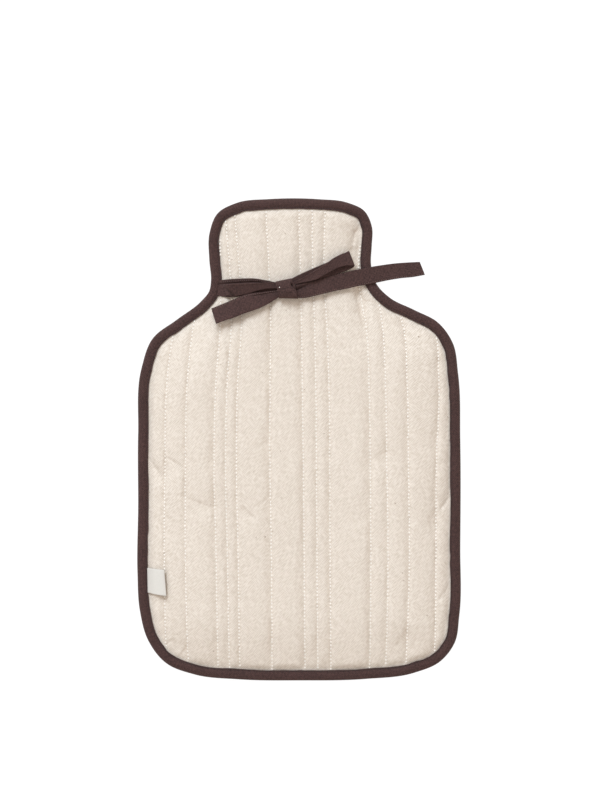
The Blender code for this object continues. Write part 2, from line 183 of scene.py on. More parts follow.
class Ripple(NamedTuple):
    """One size of ripple: its height, length and breadth, and where the noise is read from."""

    height: float
    length: float
    breadth: float
    from_u: float = 0.0
    from_v: float = 0.0

    def read(self, noise: SoftNoise, u: Array, v: Array | float = 0.0) -> Array:
        """The ripple's height at each place."""
        return self.height * noise(u / self.length + self.from_u, v / self.breadth + self.from_v)


class Wander(NamedTuple):
    """How a size wanders along a channel: by what share, how fast, and in which lane of noise."""

    share: float
    length: float
    lane: float
    first: float = 0.0

    def read(self, noise: SoftNoise, y: Array, channel: Array, shift: Array | float = 0.0) -> Array:
        """The share to add at each place."""
        return self.share * noise(y / self.length, channel * self.lane + shift + self.first)


class Nearest(NamedTuple):
    """Where points lie from the cover's edge."""

    depth: Array
    inward: Array
    along: Array


@dataclass
class Outline:
    """The cover's edge as a ring of stations, each with its inward direction."""

    station_step: float = 2.2
    chunk: int = 500
    corners: tuple[tuple[float, float], ...] = (
        (0.0, -180.5), (50.0, -179.4), (86.5, -174.8), (106.5, -165.9),
        (116.8, -152.6), (120.5, -131.5), (121.2, -80.0), (121.2, 0.0),
        (119.6, 50.0), (115.4, 73.5), (105.0, 88.0), (86.5, 98.0),
        (68.0, 107.3), (58.4, 117.2), (54.2, 131.5), (54.7, 146.0),
        (54.9, 160.0), (49.7, 171.4), (36.0, 178.0), (15.0, 180.2),
        (-22.0, 180.3), (-47.0, 177.6), (-61.5, 169.8), (-67.2, 156.0),
        (-67.4, 135.0), (-66.2, 119.5), (-67.5, 112.0), (-73.2, 104.8),
        (-91.8, 90.6), (-110.0, 76.4), (-118.4, 54.0), (-120.9, 5.0),
        (-120.9, -50.0), (-121.4, -100.0), (-119.6, -128.0), (-113.3, -150.5),
        (-100.0, -167.4), (-79.0, -175.9), (-45.0, -179.7),
    )
    points: Array = field(init=False)
    inward: Array = field(init=False)
    lengths: Array = field(init=False)
    total: float = field(init=False)

    def __post_init__(self) -> None:
        """Lay the stations along the curve and measure it."""
        ring = [Vector((x, y, 0.0)) for x, y in self.corners]
        ways = [self.direction(ring, index) for index in range(len(ring))]
        stations: list[Vector] = []
        for index, start in enumerate(ring):
            after = (index + 1) % len(ring)
            reach = (ring[after] - start).length / 3.0
            steps = max(2, math.ceil(3.0 * reach / self.station_step))
            stations += geometry.interpolate_bezier(
                start,
                start + ways[index] * reach,
                ring[after] - ways[after] * reach,
                ring[after],
                steps + 1,
            )[:-1]
        self.points = np.array([point.to_2d() for point in stations])
        along = np.roll(self.points, -1, axis=0) - np.roll(self.points, 1, axis=0)
        along /= np.linalg.norm(along, axis=1)[:, None]
        self.inward = np.stack([-along[:, 1], along[:, 0]], axis=1)
        steps = np.linalg.norm(np.roll(self.points, -1, axis=0) - self.points, axis=1)
        self.lengths = np.concatenate([[0.0], np.cumsum(steps)])
        self.total = float(self.lengths[-1])

    @staticmethod
    def direction(ring: Sequence[Vector], index: int) -> Vector:
        """The way the edge runs at a corner, where the nearer neighbour counts for more.

        Args:
            ring: the corners.
            index: which corner.

        Returns:
            A unit vector along the edge.
        """
        before = ring[index] - ring[index - 1]
        after = ring[(index + 1) % len(ring)] - ring[index]
        return (before / before.length_squared + after / after.length_squared).normalized()

    def at(self, arc: Array) -> tuple[Array, Array]:
        """Find places along the edge.

        Args:
            arc: distances along the edge from its first corner.

        Returns:
            The points there, and the inward directions.
        """
        arc = np.mod(arc, self.total)
        points = np.vstack([self.points, self.points[:1]])
        inward = np.vstack([self.inward, self.inward[:1]])
        place = [np.interp(arc, self.lengths, points[:, axis]) for axis in range(2)]
        way = np.stack([np.interp(arc, self.lengths, inward[:, axis]) for axis in range(2)], axis=1)
        return np.stack(place, axis=1), way / np.linalg.norm(way, axis=1)[:, None]

    def nearest(self, at: Array, sewn_only: bool = False) -> Nearest:
        """How deep points lie inside the edge.

        Args:
            at: points, one row each.
            sewn_only: leave out the free edge of the mouth.

        Returns:
            Depth, inward direction and distance along the edge.
        """
        starts = self.points
        runs = np.roll(starts, -1, axis=0) - starts
        squares = (runs * runs).sum(axis=1)
        parts = []
        for first in range(0, len(at), self.chunk):
            block = at[first : first + self.chunk]
            away = block[:, None, :] - starts[None]
            share = np.clip((away * runs).sum(axis=2) / squares, 0.0, 1.0)
            closest = starts + runs * share[..., None]
            gap = np.linalg.norm(block[:, None, :] - closest, axis=2)
            if sewn_only:
                gap = np.where(closest[..., 1] > SEAM_TOP, np.inf, gap)
            best = gap.argmin(axis=1)
            rows = np.arange(len(block))
            t = share[rows, best]
            after = (best + 1) % len(starts)
            inward = self.inward[best] * (1.0 - t[:, None]) + self.inward[after] * t[:, None]
            inward /= np.linalg.norm(inward, axis=1)[:, None]
            side = ((block - closest[rows, best]) * inward).sum(axis=1)
            along = self.lengths[best] + t * np.sqrt(squares[best])
            parts.append((np.copysign(gap[rows, best], side), inward, along))
        return Nearest(*(np.concatenate(column) for column in zip(*parts)))


# ---- The quilting and the relief of the front ----


class QuiltRow(NamedTuple):
    """One row of stitching: its x where it crosses each of the pattern's heights."""

    foot: float
    lower: float
    middle: float
    upper: float
    shoulder: float
    tie: float
    top: float


@dataclass
class QuiltPattern:
    """The rows of stitching, and the cloth between them before the tie drew it in."""

    heights: QuiltRow = QuiltRow(-170.0, -80.0, -20.0, 45.0, 85.0, 118.0, 170.0)
    side_channel: float = 12.0
    stitched: float = 1.6
    crest_least: float = 3.5
    crest_gain: float = 0.03
    widest_gain: float = 24.0
    rise_run: float = 1.4
    fall_run: float = 3.1
    fall_power: float = 1.6
    pulls: tuple[float, ...] = (
        0.3, 0.6, 1.2, 1.0, 0.8, 1.5, 1.1, 1.1, 0.9, 1.9, 1.1, 0.9, 0.9, 1.0
    )
    rows: tuple[QuiltRow, ...] = rows_of(
        QuiltRow,
        (-99.5, -100.8, -100.2, -98.6, -93.5, -86.0, -86.0),
        (-83.0, -84.8, -84.7, -83.2, -79.2, -73.0, -74.0),
        (-60.6, -61.9, -63.3, -61.8, -58.9, -58.6, -60.0),
        (-52.1, -53.4, -54.7, -53.4, -50.7, -51.3, -55.3),
        (-44.3, -45.4, -46.6, -45.6, -43.0, -43.9, -48.2),
        (-20.1, -20.6, -21.6, -21.5, -21.1, -22.0, -24.6),
        (4.5, 3.8, 3.3, 2.5, 1.9, 1.2, 0.1),
        (14.1, 13.4, 13.1, 12.5, 11.8, 10.5, 9.9),
        (23.9, 23.2, 23.0, 22.3, 21.0, 18.8, 19.4),
        (53.1, 53.6, 53.2, 52.2, 50.3, 45.0, 48.5),
        (65.2, 66.4, 65.5, 64.5, 62.6, 58.0, 58.5),
        (80.3, 82.4, 81.6, 80.6, 78.2, 68.0, 70.0),
        (101.8, 102.6, 102.7, 104.7, 101.2, 84.0, 84.0),
    )
    flat: Array = field(init=False)

    def __post_init__(self) -> None:
        """Keep the straight rows, which are those at the middle height."""
        self.flat = self.positions(np.array([self.heights.middle]))[0]

    def positions(self, y: Array) -> Array:
        """Where the rows cross each height, with one more line past each outer row.

        Args:
            y: heights.

        Returns:
            One row of x for each height.
        """
        crossing = smooth_through(self.heights, np.array(self.rows).T, y)
        left = crossing[:, :1] - self.side_channel
        right = crossing[:, -1:] + self.side_channel
        return np.hstack([left, crossing, right])

    def to_flat(self, x: Array, y: Array) -> Array:
        """Where points lay across the cloth while its rows were straight.

        Args:
            x: places across the cover.
            y: heights.

        Returns:
            The place across the straight cloth.
        """
        lines = self.positions(y)
        picks = np.arange(len(lines))
        index = np.clip((lines < x[:, None]).sum(axis=1), 1, lines.shape[1] - 1)
        start = lines[picks, index - 1]
        share = np.clip((x - start) / (lines[picks, index] - start), 0.0, 1.0)
        inside = self.flat[index - 1] + share * (self.flat[index] - self.flat[index - 1])
        return inside + np.minimum(x - lines[:, 0], 0.0) + np.maximum(x - lines[:, -1], 0.0)

    def from_flat(self, across: Array, y: Array) -> Array:
        """Where points of the straight cloth lie once the tie has drawn it in.

        Args:
            across: places across the straight cloth.
            y: heights.

        Returns:
            The x of each point.
        """
        lines = self.positions(y)
        picks = np.arange(len(lines))
        index = np.clip(np.searchsorted(self.flat, across), 1, len(self.flat) - 1)
        start = self.flat[index - 1]
        share = np.clip((across - start) / (self.flat[index] - start), 0.0, 1.0)
        inside = lines[picks, index - 1] * (1.0 - share) + lines[picks, index] * share
        beyond = np.minimum(across - self.flat[0], 0.0) + np.maximum(across - self.flat[-1], 0.0)
        return inside + beyond

    def channel(self, across: Array) -> tuple[Array, Array, Array]:
        """Which channel points of the straight cloth lie in.

        Args:
            across: places across the straight cloth.

        Returns:
            The share of the way across the channel, its width and its number.
        """
        index = np.clip(np.searchsorted(self.flat, across), 1, len(self.flat) - 1)
        width = self.flat[index] - self.flat[index - 1]
        return np.clip((across - self.flat[index - 1]) / width, 0.0, 1.0), width, index

    def crest(self, width: Array) -> Array:
        """The quilting's thickness at the crest of a channel."""
        return self.crest_least + self.crest_gain * np.minimum(width, self.widest_gain)


class PocketRow(NamedTuple):
    """How far the front stands off the back, down the middle, at one height."""

    y: float
    height: float


class Fold(NamedTuple):
    """A soft trough or a crease in the front: its middle, direction and size."""

    x: float
    y: float
    degrees: float
    length: float
    width: float
    depth: float

    def offsets(self, at: Array) -> tuple[Array, Array]:
        """How far points lie along the fold and to its left.

        Args:
            at: points, one row each.

        Returns:
            The two distances of each.
        """
        turn = math.radians(self.degrees)
        way = np.array((math.cos(turn), math.sin(turn)))
        away = at - (self.x, self.y)
        return away @ way, away @ np.array((-way[1], way[0]))


@dataclass
class CoverRelief:
    """Heights of the front, the back and whatever lies on them."""

    edge: Outline
    quilt: QuiltPattern
    pocket_run: float = 44.0
    puff_run: float = 6.5
    puff_power: float = 2.7
    surface_run: float = 38.0
    back_thickness: float = 3.0
    back_groove: float = 1.1
    back_power: float = 3.0
    back_flatness: float = 1.3
    crease_spread: float = 3.6
    steep_share: float = 0.5
    pocket_rows: tuple[PocketRow, ...] = rows_of(
        PocketRow,
        (-181.0, 7.5), (-120.0, 8.8), (0.0, 9.5), (60.0, 8.6),
        (95.0, 6.8), (116.0, 6.4), (140.0, 7.3), (181.0, 7.9),
    )
    folds: tuple[Fold, ...] = rows_of(
        Fold,
        (43.0, 150.0, 77.0, 36.0, 6.0, 1.7), (44.6, 92.0, 90.0, 42.0, 5.5, 1.7),
        (-25.5, 68.0, 88.0, 52.0, 6.0, 1.4), (-104.0, -26.0, 45.0, 22.0, 6.0, 1.0),
        (-70.0, -50.0, 25.0, 26.0, 7.0, 1.0), (60.0, -14.0, 30.0, 24.0, 7.0, 0.9),
        (105.0, -58.0, 60.0, 34.0, 7.0, 1.2), (78.0, -152.0, 40.0, 26.0, 7.0, 1.1),
        (-92.0, -156.0, 140.0, 26.0, 7.0, 1.1),
    )
    creases: tuple[Fold, ...] = rows_of(
        Fold,
        (-92.6, -16.7, -31.0, 17.0, 1.2, 1.6), (-72.3, -47.4, -20.0, 20.0, 1.1, 0.9),
        (-37.9, -54.2, -40.0, 15.0, 1.3, 1.6), (-106.0, -23.0, -56.0, 20.0, 1.2, 2.0),
        (-88.5, -8.5, 60.0, 10.0, 1.0, 0.5), (-87.0, -42.0, -20.0, 14.0, 1.3, 0.5),
        (-65.5, -13.0, 76.0, 26.0, 1.5, 0.5), (-66.0, -46.0, 76.0, 18.0, 1.5, 0.35),
        (-27.7, -3.5, 35.0, 11.0, 1.3, 0.6), (-27.7, -26.8, 35.0, 11.0, 1.3, 0.6),
        (-27.7, -46.3, 40.0, 14.0, 1.3, 0.7), (53.3, 103.6, -10.4, 14.0, 1.0, 1.7),
        (44.3, 158.5, 56.0, 9.0, 1.6, 2.4), (41.2, 149.5, 79.0, 17.0, 1.8, 3.0),
        (41.2, 138.2, 101.0, 12.0, 1.7, 2.6), (43.4, 110.0, 96.0, 10.0, 1.8, 2.5),
        (45.2, 101.0, 104.9, 13.0, 1.9, 2.2), (47.2, 91.5, 98.8, 13.0, 2.0, 1.5),
        (46.9, 80.0, 79.0, 14.0, 1.8, 0.7), (109.5, -47.4, 52.6, 13.0, 1.1, 1.9),
        (99.4, -58.0, 65.0, 14.0, 1.6, 0.7), (60.5, -11.0, 30.0, 14.0, 1.5, 0.5),
        (46.0, -59.0, 25.0, 15.0, 1.6, 0.5), (108.0, -115.3, 52.0, 14.0, 1.2, 1.4),
        (77.0, -147.5, 60.0, 16.0, 1.7, 0.9), (86.0, -153.0, 66.0, 12.0, 1.3, 0.8),
        (-86.0, -158.0, 52.0, 16.0, 1.3, 1.0), (-98.0, -152.0, 38.0, 13.0, 1.2, 0.8),
    )

    def sag(self, at: Array, marks: Sequence[Fold], section: Callable) -> Array:
        """How far folds or creases pull the cloth down.

        Args:
            at: points, one row each.
            marks: the folds or creases.
            section: their shape, from the distance across one and its width.

        Returns:
            The depth at each point.
        """
        depth = np.zeros(len(at))
        for fold in marks:
            along, across = fold.offsets(at)
            fade = np.exp(-((2.0 * along / fold.length) ** 4))
            depth += fold.depth * fade * section(across, fold.width)
        return depth

    def crease_section(self, across: Array, width: float) -> Array:
        """A crease's shape, gentle on its right and steep on its left.

        Args:
            across: distances to its left.
            width: its half width.

        Returns:
            The share of its depth at each distance.
        """
        gentle = np.exp(-np.abs(across) / (self.crease_spread * width))
        steep = np.where(across > 0.0, bell(across, width), gentle)
        return self.steep_share * steep + (1.0 - self.steep_share) * gentle

    def pocket(self, at: Array, near: Nearest) -> Array:
        """How far the front's underside stands off its height in the seam.

        Args:
            at: points, one row each.
            near: where they lie from the edge.

        Returns:
            The stand-off of each.
        """
        shallow = np.maximum(SEAM_INNER - near.depth, 0.0)
        at = at + near.inward * shallow[:, None]
        sewn = self.edge.nearest(at, sewn_only=True).depth
        free = np.clip((np.abs(sewn) - SEAM_INNER) / self.pocket_run, 0.0, 1.0)
        height = smooth_through(*zip(*self.pocket_rows), at[:, 1])
        bulge = height * (1.0 - (1.0 - free) ** 2)
        sag = self.sag(at, self.folds, bell)
        return np.maximum(bulge - np.minimum(sag, 0.5 * bulge), 0.0)

    def puffed(self, near: Nearest) -> Array:
        """0 in the seam, 1 where the wadding has its whole thickness."""
        share = np.clip((near.depth - SEAM_INNER) / self.puff_run, 0.0, 1.0)
        return 1.0 - (1.0 - share) ** self.puff_power

    def ground(self, at: Array) -> Array:
        """What a tape lies on: the crests of the front, the binding, and past it the surface.

        Args:
            at: points, one row each.

        Returns:
            The height there.
        """
        near = self.edge.nearest(at)
        lift = self.pocket(at, near)
        crown = (BINDING_TOP + BINDING_CROWN + lift) * (
            1.0 - ease(0.0, self.surface_run, -near.depth)
        )
        crest = self.quilt.crest(np.array(self.quilt.widest_gain))
        cloth = FRONT_SEWN_Z + lift + PANEL_SEWN + (crest - PANEL_SEWN) * self.puffed(near)
        return np.where(near.depth < SEAM_INNER, crown, cloth)


# ---- Finishes ----


class NodeTree:
    """The node tree of one material, with short ways to add and join nodes."""

    THREAD_SLIMNESS = 0.5
    THREAD_WAVER = 3.0
    THREAD_RANGE = (0.25, 0.75)
    EVEN_SHARE = 0.4

    def __init__(self, name: str) -> None:
        """Start a material with only its shader.

        Args:
            name: the material's name.
        """
        self.material = bpy.data.materials.new(name)
        self.material.use_nodes = True
        self.nodes = self.material.node_tree.nodes
        self.links = self.material.node_tree.links
        self.shader = self.nodes["Principled BSDF"]

    def add(self, kind: str, inputs: dict | None = None, **settings: object) -> bpy.types.Node:
        """Add a node.

        Args:
            kind: the node type without its ShaderNode prefix.
            inputs: values or sockets, by the input's name or number.
            settings: the node's own properties.

        Returns:
            The node.
        """
        node = self.nodes.new("ShaderNode" + kind)
        for key, value in settings.items():
            setattr(node, key, value)
        for key, value in (inputs or {}).items():
            self.feed(node, key, value)
        return node

    def feed(self, node: bpy.types.Node, key: str | int, value: object) -> None:
        """Set an input, or join it to another node's output.

        Args:
            node: the node that takes it.
            key: the input's name or number.
            value: a value or a socket.
        """
        if isinstance(value, bpy.types.NodeSocket):
            self.links.new(value, node.inputs[key])
        else:
            node.inputs[key].default_value = value

    def maths(self, operation: str, *values: object) -> bpy.types.NodeSocket:
        """The result of a Math node."""
        return self.add("Math", dict(enumerate(values)), operation=operation).outputs[0]

    def ramp(self, value: object, low: float, high: float) -> bpy.types.NodeSocket:
        """Step smoothly from 0 to 1.

        Args:
            value: the socket to read.
            low: where the step begins.
            high: where it ends.

        Returns:
            The step's height.
        """
        inputs = {"Value": value, "From Min": low, "From Max": high}
        node = self.add("MapRange", inputs, interpolation_type="SMOOTHSTEP")
        return node.outputs["Result"]

    def blend(self, share: object, first: object, second: object) -> bpy.types.NodeSocket:
        """Mix two colours.

        Args:
            share: how much of the second.
            first: a colour or a socket.
            second: a colour or a socket.

        Returns:
            The mixed colour.
        """
        node = self.add("Mix", data_type="RGBA")
        for key, value in ((0, share), (6, first), (7, second)):
            self.feed(node, key, value)
        return node.outputs[2]

    def bands(
        self, coordinates: object, pitch: float, along: str, waver: float
    ) -> bpy.types.NodeSocket:
        """Even ridges at a pitch in millimetres.

        Args:
            coordinates: the vector to read, in metres.
            pitch: from ridge to ridge.
            along: the axis they follow one another on, X or Y.
            waver: how much they wander.

        Returns:
            A height from 0 to 1.
        """
        inputs = {
            "Vector": coordinates,
            "Scale": math.pi / (10.0 * pitch * MM),
            "Distortion": waver,
            "Detail": 2.0,
            "Detail Scale": 0.35,
        }
        node = self.add(
            "TexWave", inputs, wave_type="BANDS", bands_direction=along, wave_profile="SIN"
        )
        return node.outputs["Fac"]

    def noise(self, coordinates: object, size: float, detail: float = 2.0) -> bpy.types.NodeSocket:
        """Noise with features of a size in millimetres."""
        inputs = {"Vector": coordinates, "Scale": 1.0 / (size * MM), "Detail": detail}
        return self.add("TexNoise", inputs).outputs["Fac"]

    def threads(
        self, coordinates: object, degrees: float, pitch: float, run: float
    ) -> bpy.types.NodeSocket:
        """Uneven threads that lie at an angle.

        Args:
            coordinates: the vector to read, in metres.
            degrees: the way they run across.
            pitch: their breadth in millimetres.
            run: how long each shows before it dives.

        Returns:
            A height from 0 to 1.
        """
        inputs = {
            "Vector": coordinates,
            "Rotation": (0.0, 0.0, math.radians(degrees)),
            "Scale": (self.THREAD_SLIMNESS * pitch * MM, run * MM, MM),
        }
        slanted = self.add("Mapping", inputs, vector_type="TEXTURE").outputs["Vector"]
        noise = self.add("TexNoise", {"Vector": slanted, "Scale": 1.0, "Detail": 0.0})
        uneven = self.ramp(noise.outputs["Fac"], *self.THREAD_RANGE)
        even = self.bands(self.turned(coordinates, -degrees), pitch, "X", self.THREAD_WAVER)
        even = self.maths("MULTIPLY", even, self.EVEN_SHARE)
        uneven = self.maths("MULTIPLY", uneven, 1.0 - self.EVEN_SHARE)
        return self.maths("ADD", even, uneven)

    def cloth_map(self) -> bpy.types.NodeSocket:
        """The piece's own map, in metres along and across its cloth."""
        return self.add("UVMap", uv_map=CLOTH_MAP).outputs["UV"]

    def turned(self, coordinates: object, degrees: float) -> bpy.types.NodeSocket:
        """The coordinates turned about Z."""
        turn = (0.0, 0.0, math.radians(degrees))
        return self.add("Mapping", {"Vector": coordinates, "Rotation": turn}).outputs["Vector"]

    def surface(self, values: dict[str, object]) -> None:
        """Set or join the shader's own inputs."""
        for key, value in values.items():
            self.feed(self.shader, key, value)

    def relief(self, height: object, distance: float, strength: float) -> bpy.types.NodeSocket:
        """A bump whose whole height is a distance in millimetres."""
        inputs = {"Height": height, "Distance": distance * MM, "Strength": strength}
        return self.add("Bump", inputs).outputs["Normal"]


@dataclass(frozen=True)
class QuiltedCotton:
    """Undyed cotton cloth with its seed flecks, cut on the bias."""

    name: str = "undyed_cotton"
    light: Colour = (0.815, 0.737, 0.65, 1.0)
    deep: Colour = (0.635, 0.553, 0.464, 1.0)
    fleck: Colour = (0.30, 0.215, 0.145, 1.0)
    thread_pitch: float = 1.25
    thread_run: float = 3.8
    patch_size: float = 9.0
    patch_range: tuple[float, float] = (0.3, 0.55)
    crossed_share: float = 0.3
    lint_size: float = 0.7
    lint_share: float = 0.25
    cloud_size: float = 30.0
    cloud_share: float = 0.2
    shade_range: tuple[float, float] = (0.42, 1.3)
    fleck_spacing: float = 6.5
    fleck_radius: float = 0.09
    fleck_edge: float = 0.012
    fleck_sizes: tuple[float, float] = (0.1, 0.95)
    fleck_depths: tuple[float, float] = (0.0, 1.25)
    weave_height: float = 0.2
    roughness: float = 0.93

    def material(self) -> bpy.types.Material:
        """Build the node material.

        Returns:
            The material.
        """
        tree = NodeTree(self.name)
        flat = tree.cloth_map()
        warp = tree.threads(flat, 45.0, self.thread_pitch, self.thread_run)
        weft = tree.threads(flat, -45.0, self.thread_pitch, self.thread_run)
        patch = tree.ramp(tree.noise(flat, self.patch_size), *self.patch_range)
        woven = tree.add("Mix", {0: patch, 2: warp, 3: weft}, data_type="FLOAT").outputs[0]
        crossed = tree.add("Mix", {0: patch, 2: weft, 3: warp}, data_type="FLOAT").outputs[0]
        woven = tree.maths("MULTIPLY_ADD", crossed, self.crossed_share, woven)
        lint = tree.noise(flat, self.lint_size, 1.0)
        height = tree.maths("MULTIPLY_ADD", lint, self.lint_share, woven)

        cloud = tree.noise(flat, self.cloud_size)
        shade = tree.maths("MULTIPLY_ADD", cloud, self.cloud_share, height)
        colour = tree.blend(tree.ramp(shade, *self.shade_range), self.deep, self.light)

        cells = tree.add(
            "TexVoronoi",
            {"Vector": flat, "Scale": 1.0 / (self.fleck_spacing * MM)},
            feature="F1",
        )
        chance = tree.add("SeparateColor", {0: cells.outputs["Color"]})
        size = tree.ramp(chance.outputs[0], *self.fleck_sizes)
        radius = tree.maths("MULTIPLY", size, self.fleck_radius)
        closeness = tree.maths("SUBTRACT", radius, cells.outputs["Distance"])
        spot = tree.ramp(closeness, 0.0, self.fleck_edge)
        spot = tree.maths("MULTIPLY", spot, tree.ramp(chance.outputs[1], *self.fleck_depths))
        colour = tree.blend(spot, colour, self.fleck)
        tree.surface(
            {
                "Base Color": colour,
                "Roughness": self.roughness,
                "Specular IOR Level": 0.25,
                "Sheen Weight": 0.12,
                "Sheen Roughness": 0.6,
                "Normal": tree.relief(height, self.weave_height, 1.0),
            }
        )
        return tree.material


@dataclass(frozen=True)
class BrownCotton:
    """Dark brown cotton in a fine plain weave, for the binding and the ribbon."""

    name: str = "dark_brown_cotton"
    light: Colour = (0.085, 0.0435, 0.039, 1.0)
    deep: Colour = (0.031, 0.016, 0.0145, 1.0)
    thread_pitch: float = 1.2
    thread_run: float = 2.0
    slant: float = 0.0
    lint_size: float = 1.0
    lint_share: float = 0.45
    cloud_size: float = 14.0
    cloud_share: float = 0.3
    shade_range: tuple[float, float] = (0.45, 1.3)
    weave_height: float = 0.14
    roughness: float = 0.9

    def material(self) -> bpy.types.Material:
        """Build the node material.

        Returns:
            The material.
        """
        tree = NodeTree(self.name)
        flat = tree.cloth_map()
        warp = tree.threads(flat, self.slant, self.thread_pitch, self.thread_run)
        weft = tree.threads(flat, self.slant + 90.0, self.thread_pitch, self.thread_run)
        woven = tree.maths("MULTIPLY", tree.maths("ADD", warp, weft), 0.5)
        lint = tree.noise(flat, self.lint_size)
        height = tree.maths("MULTIPLY_ADD", lint, self.lint_share, woven)
        cloud = tree.noise(flat, self.cloud_size)
        shade = tree.maths("MULTIPLY_ADD", cloud, self.cloud_share, height)
        colour = tree.blend(tree.ramp(shade, *self.shade_range), self.deep, self.light)
        tree.surface(
            {
                "Base Color": colour,
                "Roughness": self.roughness,
                "Specular IOR Level": 0.3,
                "Sheen Weight": 0.1,
                "Sheen Roughness": 0.5,
                "Sheen Tint": (1.0, 0.7, 0.6, 1.0),
                "Normal": tree.relief(height, self.weave_height, 0.5),
            }
        )
        return tree.material


@dataclass(frozen=True)
class LabelTape:
    """Off-white woven tape, tightly ribbed, with nothing on it."""

    name: str = "off_white_tape"
    light: Colour = (0.725, 0.697, 0.645, 1.0)
    deep: Colour = (0.635, 0.607, 0.555, 1.0)
    rib_pitch: float = 0.75
    rib_share: float = 0.4
    lint_size: float = 0.8
    lint_share: float = 0.5
    shade_range: tuple[float, float] = (0.2, 1.2)
    weave_height: float = 0.1
    roughness: float = 0.8

    def material(self) -> bpy.types.Material:
        """Build the node material.

        Returns:
            The material.
        """
        tree = NodeTree(self.name)
        flat = tree.cloth_map()
        ribs = tree.bands(flat, self.rib_pitch, "Y", 0.3)
        lint = tree.noise(flat, self.lint_size, 3.0)
        height = tree.maths("MULTIPLY_ADD", lint, self.lint_share, ribs)
        shade = tree.maths("MULTIPLY_ADD", ribs, self.rib_share, lint)
        colour = tree.blend(tree.ramp(shade, *self.shade_range), self.deep, self.light)
        tree.surface(
            {
                "Base Color": colour,
                "Roughness": self.roughness,
                "Specular IOR Level": 0.35,
                "Sheen Weight": 0.1,
                "Normal": tree.relief(height, self.weave_height, 0.4),
            }
        )
        return tree.material


@dataclass(frozen=True)
class SewingThread:
    """Spun sewing thread."""

    name: str
    light: Colour
    deep: Colour
    twist_size: float = 0.4
    twist_height: float = 0.08
    shade_range: tuple[float, float] = (0.3, 0.7)
    roughness: float = 0.6

    def material(self) -> bpy.types.Material:
        """Build the node material.

        Returns:
            The material.
        """
        tree = NodeTree(self.name)
        place = tree.add("TexCoord").outputs["Object"]
        twist = tree.noise(place, self.twist_size, 1.0)
        colour = tree.blend(tree.ramp(twist, *self.shade_range), self.deep, self.light)
        tree.surface(
            {
                "Base Color": colour,
                "Roughness": self.roughness,
                "Sheen Weight": 0.1,
                "Normal": tree.relief(twist, self.twist_height, 0.4),
            }
        )
        return tree.material


@dataclass
class Wardrobe:
    """Every finish of the cover, made once."""

    cotton: bpy.types.Material = field(init=False)
    binding: bpy.types.Material = field(init=False)
    ribbon: bpy.types.Material = field(init=False)
    label: bpy.types.Material = field(init=False)
    cream_thread: bpy.types.Material = field(init=False)
    brown_thread: bpy.types.Material = field(init=False)
    hem_thread: bpy.types.Material = field(init=False)

    def __post_init__(self) -> None:
        """Make the materials."""
        self.cotton = QuiltedCotton().material()
        self.binding = BrownCotton(name="binding_cotton", slant=45.0).material()
        self.ribbon = BrownCotton(name="ribbon_cotton").material()
        self.label = LabelTape().material()
        self.cream_thread = SewingThread(
            "cream_thread", (0.96, 0.915, 0.85, 1.0), (0.88, 0.83, 0.765, 1.0)
        ).material()
        self.brown_thread = SewingThread(
            "brown_thread", (0.032, 0.017, 0.015, 1.0), (0.014, 0.008, 0.007, 1.0)
        ).material()
        self.hem_thread = SewingThread(
            "hem_thread", (0.17, 0.10, 0.085, 1.0), (0.10, 0.06, 0.05, 1.0)
        ).material()


# ---- Meshes ----


def new_object(name: str, builder: bmesh.types.BMesh) -> bpy.types.Object:
    """Put a finished mesh into the scene, and free its builder.

    Args:
        name: the object's name.
        builder: the mesh, in metres.

    Returns:
        The object.
    """
    mesh = bpy.data.meshes.new(name)
    builder.to_mesh(mesh)
    builder.free()
    obj = bpy.data.objects.new(name, mesh)
    bpy.context.scene.collection.objects.link(obj)
    return obj


@dataclass
class Piece:
    """How one finished piece joins the model."""

    name: str
    material: bpy.types.Material
    slot: Slot
    stands_for: tuple[str, ...] = ()

    def finish(self, builder: bmesh.types.BMesh, cloth: Callable | None = None) -> bpy.types.Object:
        """Turn a mesh in millimetres into the finished piece in metres.

        Args:
            builder: the mesh, which is freed.
            cloth: gives the map of each face's loops, in millimetres.

        Returns:
            The object, riding on the cover's body.
        """
        if cloth:
            layer = builder.loops.layers.uv.new(CLOTH_MAP)
            for face in builder.faces:
                for loop, place in zip(face.loops, cloth(face)):
                    loop[layer].uv = (place[0] * MM, place[1] * MM)
        bmesh.ops.scale(builder, vec=(MM, MM, MM), verts=builder.verts)
        obj = new_object(self.name, builder)
        obj.data.materials.append(self.material)
        obj.data.shade_smooth()
        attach(obj, BODY)
        if self.stands_for:
            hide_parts(*self.stands_for)
        LOG.info("%s: %d faces", self.name, len(obj.data.polygons))
        return obj


def cut_along(panel: bmesh.types.BMesh, point: Sequence[float], normal: Sequence[float]) -> None:
    """Cut a flat panel along one straight line, keeping both sides."""
    whole = list(panel.verts) + list(panel.edges) + list(panel.faces)
    bmesh.ops.bisect_plane(panel, geom=whole, dist=1e-4, plane_co=point, plane_no=normal)


def places(builder: bmesh.types.BMesh) -> Array:
    """The vertices' coordinates as an array."""
    return np.array([vert.co[:] for vert in builder.verts])


def move_to(builder: bmesh.types.BMesh, at: Array) -> None:
    """Move every vertex to its place, and turn the faces outwards.

    Args:
        builder: the mesh.
        at: a place for each vertex.
    """
    for vert, place in zip(builder.verts, at):
        vert.co = place
    bmesh.ops.recalc_face_normals(builder, faces=builder.faces)
    builder.verts.index_update()


def spin_round(builder: bmesh.types.BMesh, axis: Sequence[float], steps: int) -> None:
    """Carry a line of vertices and edges once round an axis through the origin.

    Args:
        builder: the mesh, which holds only that line.
        axis: the axis's direction.
        steps: how many cells it makes round the axis.
    """
    bmesh.ops.spin(
        builder,
        geom=list(builder.verts) + list(builder.edges),
        cent=(0.0, 0.0, 0.0),
        axis=axis,
        angle=2.0 * math.pi,
        steps=steps,
        use_merge=True,
    )


